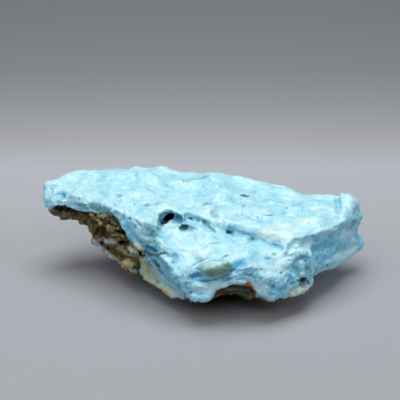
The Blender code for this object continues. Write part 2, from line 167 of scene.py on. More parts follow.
@dataclass(frozen=True)
class Viewpoint:
    """Where the photograph was taken from, and how its pixels meet the stone.

    elevation: how many degrees the camera stands above level.
    distance, target: how far it is from the place it looks at, and that place.
    lens, sensor, pixels: its focal length, its sensor's width and the photograph's pixels.
    clip: the nearest and the farthest that it sees, in metres.
    """

    elevation: float = 24.0
    distance: float = 276.0
    target: tuple[float, float, float] = (-2.0, -3.7, 35.5)
    lens: float = 70.0
    sensor: float = 36.0
    pixels: int = 400
    clip: tuple[float, float] = (0.01, 20.0)

    def axes(self) -> tuple[np.ndarray, np.ndarray, np.ndarray]:
        """The camera's right, up and backward directions."""
        tilt = math.radians(self.elevation)
        right = np.array((1.0, 0.0, 0.0))
        up = np.array((0.0, math.sin(tilt), math.cos(tilt)))
        back = np.array((0.0, -math.cos(tilt), math.sin(tilt)))
        return right, up, back

    def eye(self) -> np.ndarray:
        """Where the camera stands, in millimetres."""
        return np.array(self.target) + self.distance * self.axes()[2]

    def sight(self, column: float, row: float) -> np.ndarray:
        """The direction from the camera through a pixel of the photograph.

        Args:
            column: the pixel's column.
            row: its row.

        Returns:
            The direction, one long along the view.
        """
        right, up, back = self.axes()
        half = self.pixels / 2
        spread = self.sensor / 2 / self.lens
        return right * (column - half) / half * spread + up * (half - row) / half * spread - back

    def seen(self, points: np.ndarray) -> tuple[np.ndarray, np.ndarray]:
        """Where points fall in the photograph.

        Args:
            points: the points in millimetres.

        Returns:
            Their columns and their rows.
        """
        right, up, back = self.axes()
        away = points - self.eye()
        half = self.pixels / 2
        scale = half * self.lens / (self.sensor / 2) / -(away @ back)
        return half + away @ right * scale, half - away @ up * scale

    def camera(self) -> bpy.types.Object:
        """Make the camera, give it to the scene and return it."""
        data = bpy.data.cameras.new("photo_camera")
        data.lens = self.lens
        data.sensor_width = self.sensor
        data.clip_start, data.clip_end = self.clip
        camera = bpy.data.objects.new("photo_camera", data)
        camera.location = Vector(self.eye()) * MM
        camera.rotation_euler = (math.radians(90.0 - self.elevation), 0.0, 0.0)
        bpy.context.scene.collection.objects.link(camera)
        bpy.context.scene.camera = camera
        return camera


@dataclass(frozen=True)
class SweepFinish:
    """Matt paper whose colour is graded as painted light falloff: pale by the stone and darker up the wall;
    it gives no gloss.

    grades: how far back each grade of that painted falloff lies on the paper, and its colour.
    """

    grades: tuple[tuple[float, str], ...] = (
        (-260.0, "#9ca0a5"), (-100.0, "#989ca0"), (-20.0, "#9a9ca2"), (60.0, "#a1a4a9"),
        (118.0, "#a6a9af"), (160.0, "#9a9ba1"), (205.0, "#898c90"), (260.0, "#787b7f"),
        (330.0, "#6e7176"), (560.0, "#6a6d72"),
    )
    roughness: float = 0.9
    specular_level: float = 0.2

    def material(self) -> bpy.types.Material:
        """The paper's material, whose colour changes with how far back it lies to paint the light's falloff.
        """
        material = bpy.data.materials.new("paper_with_painted_falloff")
        material.use_nodes = True
        tree = material.node_tree
        shader = tree.nodes["Principled BSDF"]
        place = add_node(tree, "ShaderNodeTexCoord").outputs["Object"]
        along = add_node(tree, "ShaderNodeSeparateXYZ", {"Vector": place}).outputs["Y"]
        first, last = self.grades[0][0], self.grades[-1][0]
        reach = {"Value": along, "From Min": first * MM, "From Max": last * MM}
        share = add_node(tree, "ShaderNodeMapRange", reach).outputs["Result"]
        ramp = add_node(tree, "ShaderNodeValToRGB", {"Fac": share})
        stops = ramp.color_ramp.elements
        for back, colour in self.grades[1:-1]:
            stops.new((back - first) / (last - first)).color = linear(colour)
        stops[0].color, stops[-1].color = linear(self.grades[0][1]), linear(self.grades[-1][1])
        tree.links.new(ramp.outputs["Color"], shader.inputs["Base Color"])
        shader.inputs["Roughness"].default_value = self.roughness
        shader.inputs["Specular IOR Level"].default_value = self.specular_level
        return material


@dataclass
class Studio:
    """The paper sweep, the overhead softbox, three weak cards and the room's even light."""

    half_width: float = 900.0
    front: float = -700.0
    curve_starts: float = 150.0
    curve_radius: float = 420.0
    wall_top: float = 600.0
    arc_steps: int = 24
    box_size: tuple[float, float] = (720.0, 540.0)
    box_place: tuple[float, float, float] = (-40.0, 65.0, 850.0)
    box_power: float = 7.9
    card_size: tuple[float, float] = (800.0, 250.0)
    card_place: tuple[float, float, float] = (-100.0, -450.0, 640.0)
    card_power: float = 1.2
    side_card_size: tuple[float, float] = (300.0, 400.0)
    left_card_place: tuple[float, float, float] = (-700.0, -250.0, 420.0)
    left_card_power: float = 1.0
    right_card_place: tuple[float, float, float] = (700.0, -250.0, 420.0)
    right_card_power: float = 1.6
    room_colour: str = "#f4f7fb"
    room_strength: float = 0.02
    finish: SweepFinish = field(default_factory=SweepFinish)

    def profile(self) -> list[tuple[float, float]]:
        """The sweep's side view: the corners of floor, arc and wall, as (y, z)."""
        points = [(self.front, 0.0)]
        for step in range(self.arc_steps + 1):
            turn = math.pi / 2 * step / self.arc_steps
            along = self.curve_starts + self.curve_radius * math.sin(turn)
            points.append((along, self.curve_radius * (1.0 - math.cos(turn))))
        points.append((self.curve_starts + self.curve_radius, self.wall_top))
        return points

    def sweep(self) -> bpy.types.Object:
        """The seamless paper that the stone lies on, as an object."""
        shape = bmesh.new()
        left, right = (
            [shape.verts.new(Vector((side * self.half_width, y, z)) * MM) for y, z in self.profile()]
            for side in (-1, 1)
        )
        for at in range(len(left) - 1):
            shape.faces.new((left[at], right[at], right[at + 1], left[at + 1]))
        mesh = bpy.data.meshes.new("paper_sweep")
        shape.to_mesh(mesh)
        shape.free()
        mesh.shade_smooth()
        mesh.materials.append(self.finish.material())
        sweep = link_object("paper_sweep", mesh)
        return sweep

    def lamp(
        self, name: str, place: tuple[float, float, float], size: tuple[float, float], power: float
    ) -> bpy.types.Object:
        """A rectangular light that looks at the stone.

        Args:
            name: the light's name.
            place: its middle.
            size: its width and depth.
            power: its watts.

        Returns:
            The light.
        """
        data = bpy.data.lights.new(name, "AREA")
        data.shape = "RECTANGLE"
        data.size, data.size_y = (side * MM for side in size)
        data.energy = power
        light = bpy.data.objects.new(name, data)
        light.location = Vector(place) * MM
        light.rotation_euler = Vector(place).to_track_quat("Z", "Y").to_euler()
        bpy.context.scene.collection.objects.link(light)
        return light

    def room(self) -> None:
        """The even light that the room gives back."""
        world = bpy.data.worlds.new("room")
        world.use_nodes = True
        background = world.node_tree.nodes["Background"]
        background.inputs["Color"].default_value = linear(self.room_colour)
        background.inputs["Strength"].default_value = self.room_strength
        bpy.context.scene.world = world

    def build(self) -> None:
        """Set the studio up."""
        self.sweep()
        self.lamp("softbox", self.box_place, self.box_size, self.box_power)
        self.lamp("front_card", self.card_place, self.card_size, self.card_power)
        self.lamp("left_card", self.left_card_place, self.side_card_size, self.left_card_power)
        self.lamp("right_card", self.right_card_place, self.side_card_size, self.right_card_power)
        self.room()
        bpy.context.scene.view_settings.view_transform = "Standard"


@dataclass(frozen=True)
class Mark:
    """One feature of the skin, placed by where the photograph shows it.

    path: the pixels that it follows; one pixel makes a spot.
    across: half its width along its own first and second axis, as seen; a path reads the first.
    turn: degrees that a spot's first axis is turned from the photograph's right, upwards.
    lift: how far its middle stands out; negative sinks it.
    tint: its colour: a real stain on some marks, painted shade on others and painted light on a few; full
    says how fully.
    side: 1 keeps only what lies left of the path as one follows it, -1 only what lies right.
    edge: how square its profile is; 2 is a soft dome.
    """

    path: tuple[tuple[float, float], ...]
    across: tuple[float, float] = (1.0, 1.0)
    turn: float = 0.0
    lift: float = 0.0
    tint: Tint | None = None
    full: float = 1.0
    side: int = 0
    edge: float = 2.0


@dataclass(frozen=True)
class Hole:
    """An opening that runs into the stone, placed by where the photograph shows it.

    at: the pixel of its middle.
    across: half its width along its first and second axis, as seen.
    turn: degrees that its first axis is turned from the photograph's right, upwards.
    reach: half its length along its own line, which is the line of sight.
    rise: degrees that this line climbs as it goes in.
    sunk: how far behind the skin its middle lies.
    tint: the colour of its inside, painted shade for most and the matrix's own brown for the brown ones;
    full says how fully.
    """

    at: tuple[float, float]
    across: tuple[float, float]
    turn: float = 0.0
    reach: float = 3.0
    rise: float = 0.0
    sunk: float = 0.0
    tint: Tint = Tint.TEAL
    full: float = 1.0


@dataclass(frozen=True)
class Plug:
    """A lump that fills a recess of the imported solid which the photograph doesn't show.

    middle: where it sits.
    size: half its sizes.
    """

    middle: tuple[float, float, float]
    size: tuple[float, float, float]


PLUGS: tuple[Plug, ...] = (Plug((-19.3, -10.8, 18.0), (5.0, 4.6, 4.2)),)


@dataclass(frozen=True)
class Pull:
    """A piece of the outline that is drawn from one pixel of the photograph to another."""

    start: tuple[float, float]
    end: tuple[float, float]


PULLS: tuple[Pull, ...] = (
    Pull((47.5, 184), (44.5, 184)), Pull((47, 192), (44.2, 191)), Pull((50, 200), (44.5, 201)),
    Pull((53, 208), (47, 208.5)), Pull((56, 216), (52, 215)), Pull((61, 221), (60, 218)),
    Pull((66, 223), (66, 217.8)), Pull((72, 223.5), (72, 220.5)), Pull((79, 227), (79, 221.8)),
    Pull((88, 233), (88, 230)), Pull((90, 243), (91.5, 241)), Pull((100.5, 255), (100.5, 250)),
    Pull((108, 260), (108, 256)), Pull((114, 262.5), (114, 259.5)), Pull((120.5, 265), (120.5, 266.5)),
    Pull((130.5, 271.3), (130.5, 274)), Pull((139, 277.5), (139, 275)), Pull((150.5, 282.5), (149, 285.5)),
    Pull((160.5, 288.8), (158.5, 292.5)), Pull((170, 292), (169, 295.5)), Pull((180, 295), (179.5, 297.8)),
    Pull((187, 296.5), (188, 299.5)), Pull((194, 300), (195, 301.8)), Pull((204, 302.5), (204, 302.3)),
    Pull((212, 301.3), (211.5, 300)), Pull((218, 297), (216, 296.5)), Pull((258, 296), (258, 295.5)),
    Pull((269, 302), (269.5, 300.8)), Pull((277, 297), (277, 296.2)), Pull((290, 295), (290, 297.5)),
    Pull((302.5, 293.8), (302.5, 293)), Pull((309.3, 291), (308, 289.8)), Pull((316, 285), (312.4, 284.5)),
    Pull((316.8, 277.5), (313.6, 276)), Pull((321.8, 275.6), (322, 273.8)),
    Pull((328, 266), (328.5, 270.3)),
    Pull((338, 260), (338.5, 265.6)), Pull((345.5, 255), (346, 260)), Pull((356.8, 250), (357, 253.5)),
    Pull((362.4, 248), (363.5, 247.5)), Pull((362.4, 240), (364, 239)), Pull((356.5, 228), (358.2, 228)),
    Pull((362.4, 215), (362, 215)), Pull((360.5, 204), (357.6, 204)), Pull((355.5, 196), (353.8, 197.3)),
    Pull((344, 192.7), (343.5, 195)), Pull((332, 191), (332, 196)), Pull((320, 189), (320, 195)),
    Pull((308, 189), (308, 194)), Pull((296, 188), (296, 191)), Pull((284, 185), (284, 187.2)),
    Pull((272, 184), (272, 184)), Pull((260, 182), (260, 180)), Pull((248, 180), (248, 177)),
    Pull((236, 178), (236, 175)), Pull((224, 174), (224, 173)), Pull((212, 171), (212, 172)),
    Pull((200, 169.5), (200, 172)), Pull((188, 168.5), (188, 172)), Pull((176, 169), (176, 170.3)),
    Pull((164, 168), (164, 166.5)), Pull((152, 170.5), (152, 166.5)), Pull((140, 171), (140, 167)),
    Pull((128, 172), (128, 167.5)), Pull((116, 172), (116, 168)), Pull((104, 173), (104, 168.6)),
    Pull((92, 174), (92, 169)), Pull((80, 173), (80, 170)), Pull((70, 174.5), (70, 171.6)),
    Pull((60, 179), (60, 178.4)), Pull((52, 178.5), (52, 178.8)),
)

EASED: tuple[Mark, ...] = (
    Mark(((304, 270),), (8.0, 8.0)),
    Mark(((190, 236),), (6.5, 5.0)),
    Mark(((292, 244),), (4.0, 3.4)),
    Mark(((152, 250),), (3.8, 3.4)),
    Mark(((226, 231), (244, 235), (262, 243)), (4.5, 1), full=0.45),
)

FORMS: dict[str, Mark] = {
    "tip_crown": Mark(((51, 184),), (5.0, 2.6), 0.0, 0.7),
    "alcove": Mark(
        ((158.5, 230), (158.5, 222), (159.5, 215), (165, 212.5), (172, 213), (179, 215), (187, 212.5),
         (197, 216)), (4.4, 1), 0.0, -1.6, side=-1, edge=2.5),
    "alcove_floor": Mark(((172, 232),), (5.0, 1.4), 0.0, 0.4),
    "scarp": Mark(((196, 214), (204, 219), (211, 227), (218, 235)), (3.4, 1), 0.0, -0.65, side=-1),
    "plateau_edge": Mark(
        ((229, 229), (240, 231), (254, 235), (266, 241), (283, 247)), (1.7, 1), 0.0, -0.5, side=-1),
    "trough": Mark(((236, 235), (243, 235.5), (253, 239), (266, 244), (281, 248)), (1.2, 1), 0.0, -0.15),
    "slope_crest": Mark(((212, 243), (236, 246), (262, 252), (280, 257)), (3.6, 1), 0.0, 0.4),
    "flank_drop": Mark(
        ((158, 236), (161, 243), (166, 251), (173, 258), (179, 268), (184, 280), (189, 290)),
        (5.5, 1), 0.0, -0.6, side=-1, edge=1.6),
    "flank_swell": Mark(((140, 234), (150, 243), (160, 250)), (2.6, 1), 0.0, 0.5),
    "flank_lower_swell": Mark(((168, 262), (172, 275)), (2.2, 1), 0.0, 0.7),
    "olive_edge": Mark(
        ((147, 257), (152, 265), (158, 275), (168, 284), (180, 293)), (4.5, 1), 0.0, -1.0, side=-1),
    "olive_ridge": Mark(((148, 259), (154, 267), (161, 276), (169, 284)), (1.0, 1), 0.0, 0.25),
    "glassy_lump": Mark(((208, 271), (216, 270), (225, 268)), (2.7, 1), 0.0, 0.7, edge=3.0),
    "glassy_corner": Mark(((227, 263.5),), (2.0, 1.6), 30.0, 0.6),
    "glassy_foot": Mark(((215, 275.5),), (2.6, 1.2), 8.0, 0.5),
    "glassy_dent": Mark(((207, 266),), (1.8, 1.2), 20.0, -0.4),
    "glassy_slope": Mark(((205, 265), (214, 263.5), (223, 263)), (2.4, 1), 0.0, 0.5),
    "lump_under": Mark(((204, 280), (214, 279), (225, 275), (233, 268)), (3.2, 1), 0.0, -1.3, side=-1),
    "blue_bay": Mark(((240, 264),), (3.6, 1.9), 0.0, -1.0),
    "teal_bay": Mark(((196.5, 277),), (3.4, 1.9), 5.0, -1.5),
    "lower_fold": Mark(((233, 270), (249, 270), (262, 268.5), (276, 270)), (3.2, 1), 0.0, -0.5, side=-1),
    "lower_shelf": Mark(((196, 287), (206, 286), (217, 283)), (2.0, 1), 0.0, 0.6),
    "right_ridge": Mark(
        ((286, 252), (290, 245), (296, 240), (305, 236), (316, 234), (328, 230), (343, 223)),
        (4.5, 1), 0.0, -0.6, side=-1, edge=1.8),
    "ridge_swell": Mark(((300, 250), (304, 244)), (2.6, 1), 0.0, 0.5),
    "shade_edge": Mark(
        ((312, 254), (311, 247), (320, 244), (328, 237), (336, 231), (345, 226)),
        (4.0, 1), 0.0, -0.7, side=-1, edge=1.6),
    "terrace_rim": Mark(
        ((304, 256), (297, 259), (293, 264), (291, 272), (288, 281)), (3.0, 1), 0.0, -0.7,
        side=1, edge=1.6),
    "corner_edge": Mark(((309, 247), (310, 256), (312, 266), (312, 276)), (1.2, 1), 0.0, 0.5),
    "corner_rib": Mark(((301, 262), (304, 270), (302, 276)), (1.3, 1), 0.0, 0.5),
    "corner_step": Mark(((295, 270), (299, 277)), (1.6, 1), 0.0, -0.5),
    "corner_hollow": Mark(((307, 268),), (1.2, 2.0), 10.0, -0.5),
    "knob": Mark(((340, 197), (340, 204), (341, 211)), (7.0, 1), 0.0, 1.3, side=1, edge=3.0),
    "knob_notch": Mark(((337, 199), (338, 205), (338, 211)), (2.0, 1), 0.0, -0.8),
    "knob_face": Mark(((350, 204),), (3.2, 3.2), 0.0, 0.5, edge=4.0),
    "knob_under": Mark(((354, 222),), (2.6, 1.5), 0.0, -0.8),
    "right_face_bulge": Mark(((352, 240),), (3.2, 2.6), 0.0, 0.8),
    "right_face_bay": Mark(((330, 246),), (4.6, 2.2), 25.0, -0.7),
    "right_face_foot": Mark(((330, 262),), (4.6, 1.5), 25.0, 0.6),
    "crust_lip": Mark(
        ((50, 211), (59, 206), (67, 207), (76, 211), (87, 213), (95, 213), (110, 215.5), (116, 219),
         (121, 227), (126, 235), (130, 242)), (5.0, 1), 0.0, -1.5, side=-1, edge=3.0),
    "wing_knee": Mark(((90, 222),), (2.6, 1.8), 0.0, 0.7),
    "pale_lens": Mark(((110, 241.5),), (3.0, 1.1), -4.0, 1.1),
    "second_lens": Mark(((131, 250),), (2.4, 1.3), -22.0, 1.2),
    "olive_arm": Mark(((113, 234.5), (118, 233.5), (124, 236.5), (129, 241), (137, 246), (145, 252)),
                      (1.3, 1), 0.0, 1.0),
    "tan_cell": Mark(((129, 266),), (2.9, 2.3), -20.0, 1.0, edge=3.0),
    "low_rib": Mark(((96, 243), (104, 251), (113, 258), (119, 266)), (1.5, 1), 0.0, 0.7),
    "olive_swell": Mark(((146, 277),), (2.6, 2.2), -45.0, 0.6),
    "olive_bay": Mark(((155, 281),), (2.6, 1.5), -30.0, -0.6),
    "olive_knob": Mark(((144, 270),), (1.3, 1.6), -20.0, 0.5),
    "olive_dent": Mark(((150, 266),), (1.2, 1.8), 20.0, -0.5),
    "olive_dent_low": Mark(((149, 279),), (1.6, 1.0), -40.0, -0.4),
    "olive_foot": Mark(((163, 290), (170, 293)), (1.2, 1), 0.0, 0.5),
    "flank_step": Mark(((160, 256), (168, 262), (176, 272), (182, 284)), (1.6, 1), 0.0, 0.5),
    "arch_brow": Mark(((222, 283), (232, 280.5), (243, 280)), (1.6, 1), 0.0, -0.5),
    "front_toe": Mark(((268, 290),), (2.6, 2.4), 0.0, 0.8),
    "toe_dent": Mark(((273, 286),), (1.6, 1.2), 0.0, -0.8),
    "base_chunk": Mark(((299, 292),), (3.8, 1.5), 14.0, 0.9),
    "triangle_dent": Mark(((215, 213),), (2.4, 2.2), 0.0, -0.25),
    "top_swell_middle": Mark(((222, 196),), (6.0, 2.2), 0.0, 0.5),
}

# Holes tinted dark teal, deep blue or near black have painted shade inside; the brown ones show the matrix's
# own colour.
HOLES: dict[str, Hole] = {
    "cavity_throat": Hole((169.3, 217.3), (2.3, 1.3), 20.0, 4.5, 10.0, 2.0, Tint.POCKET_SHADE),
    "cavity_slant": Hole((164.4, 221.3), (1.6, 0.95), 42.0, 2.0, 5.0, 0.4, Tint.TEAL, 1.0),
    "cavity_side": Hole((161.5, 225), (1.1, 0.8), 70.0, 0.9, 0.0, 0.0, Tint.TEAL, 0.6),
    "cavity_nook": Hole((191, 219.3), (1.45, 0.5), -26.0, 2.2, 12.0, 0.6, Tint.TEAL, 1.0),
    "cavity_end": Hole((200, 221.4), (0.75, 0.45), -18.0, 2.2, 12.0, 1.0, Tint.POCKET_SHADE, 0.7),
    "green_pit": Hole((183.8, 228.4), (1.8, 1.1), 6.0, 2.0, -25.0, 0.3, Tint.TEAL, 0.8),
    "green_pit_dish": Hole((188, 227.6), (2.2, 1.0), -10.0, 1.2, -30.0, -0.3, Tint.TEAL, 0.4),
    "small_hole": Hole((228.6, 232), (1.15, 0.85), -10.0, 1.1, 0.0, 0.2, Tint.TEAL, 0.85),
    "trough_end": Hole((252.5, 239), (0.8, 0.5), -10.0, 1.2, 0.0, 0.4, Tint.TEAL, 0.8),
    "toe_hole": Hole((303.8, 282.8), (3.0, 1.8), -16.0, 2.0, 0.0, 0.1, Tint.TEAL, 0.45),
    "toe_hole_top": Hole((303, 279.6), (1.4, 0.6), 8.0, 2.4, 20.0, 1.0, Tint.POCKET_SHADE, 0.9),
    "toe_hole_side": Hole((308.5, 282.5), (0.9, 0.4), -45.0, 2.0, 10.0, 0.9, Tint.POCKET_SHADE, 0.7),
    "brown_hollow": Hole((103.8, 231), (3.3, 2.6), -12.0, 2.1, 0.0, 0.1, Tint.EARTH, 0.6),
    "brown_hollow_wing": Hole((97, 233), (1.5, 1.3), 30.0, 1.4, 0.0, 0.3, Tint.EARTH),
    "matrix_pit": Hole((121, 241), (1.6, 0.85), -18.0, 2.2, 0.0, 0.9, Tint.POCKET_SHADE),
    "matrix_crack": Hole((141.5, 254), (1.8, 0.6), -35.0, 1.8, 0.0, 0.5, Tint.POCKET_SHADE),
    "cell_hole": Hole((134, 266.3), (0.5, 0.5), 0.0, 1.8, 0.0, 0.9, Tint.POCKET_SHADE),
    "lip_pocket": Hole((95.5, 214.6), (1.5, 0.55), 6.0, 2.4, 6.0, 0.9, Tint.EARTH),
    "lip_shadow": Hole((70, 208.6), (4.2, 0.7), -14.0, 2.6, 10.0, 1.2, Tint.EARTH),
    "flank_pocket": Hole((151, 247.8), (1.5, 0.5), -28.0, 1.2, 0.0, 0.2, Tint.BLUE, 1.0),
    "flank_pocket_end": Hole((155, 250.8), (1.2, 0.35), 10.0, 1.2, 0.0, 0.3, Tint.TEAL, 1.0),
    "flank_crack": Hole((163.5, 253.6), (1.4, 0.42), 16.0, 1.5, 0.0, 0.6, Tint.POCKET_SHADE, 0.8),
    "flank_crack_left": Hole((151.5, 254.8), (1.9, 0.25), 14.0, 1.3, 0.0, 0.5, Tint.POCKET_SHADE, 0.8),
    "long_pit": Hole((157.3, 264.8), (2.3, 0.75), -50.0, 1.5, 0.0, 0.3, Tint.TEAL, 0.75),
    "low_pit": Hole((177, 285), (1.6, 0.7), -38.0, 1.6, 0.0, 0.4, Tint.TEAL, 0.9),
    "upper_pit": Hole((129.5, 218.6), (1.1, 0.45), -6.0, 1.0, 0.0, 0.3, Tint.BLUE, 0.9),
    "lump_slit": Hole((224.5, 257.2), (1.4, 0.42), 24.0, 2.0, 0.0, 0.8, Tint.POCKET_SHADE, 0.8),
    "teal_slit": Hole((199, 281.2), (1.7, 0.5), 4.0, 2.0, 0.0, 0.8, Tint.TEAL, 1.0),
    "teal_slit_right": Hole((208, 280.4), (0.9, 0.4), 10.0, 1.6, 0.0, 0.6, Tint.POCKET_SHADE, 0.8),
    "toe_slit": Hole((291, 284.8), (1.7, 0.42), 36.0, 2.0, 0.0, 0.8, Tint.POCKET_SHADE, 0.8),
    "green_mark": Hole((244.8, 195.6), (1.8, 0.65), -8.0, 1.3, 0.0, 0.1, Tint.TEAL, 0.9),
}
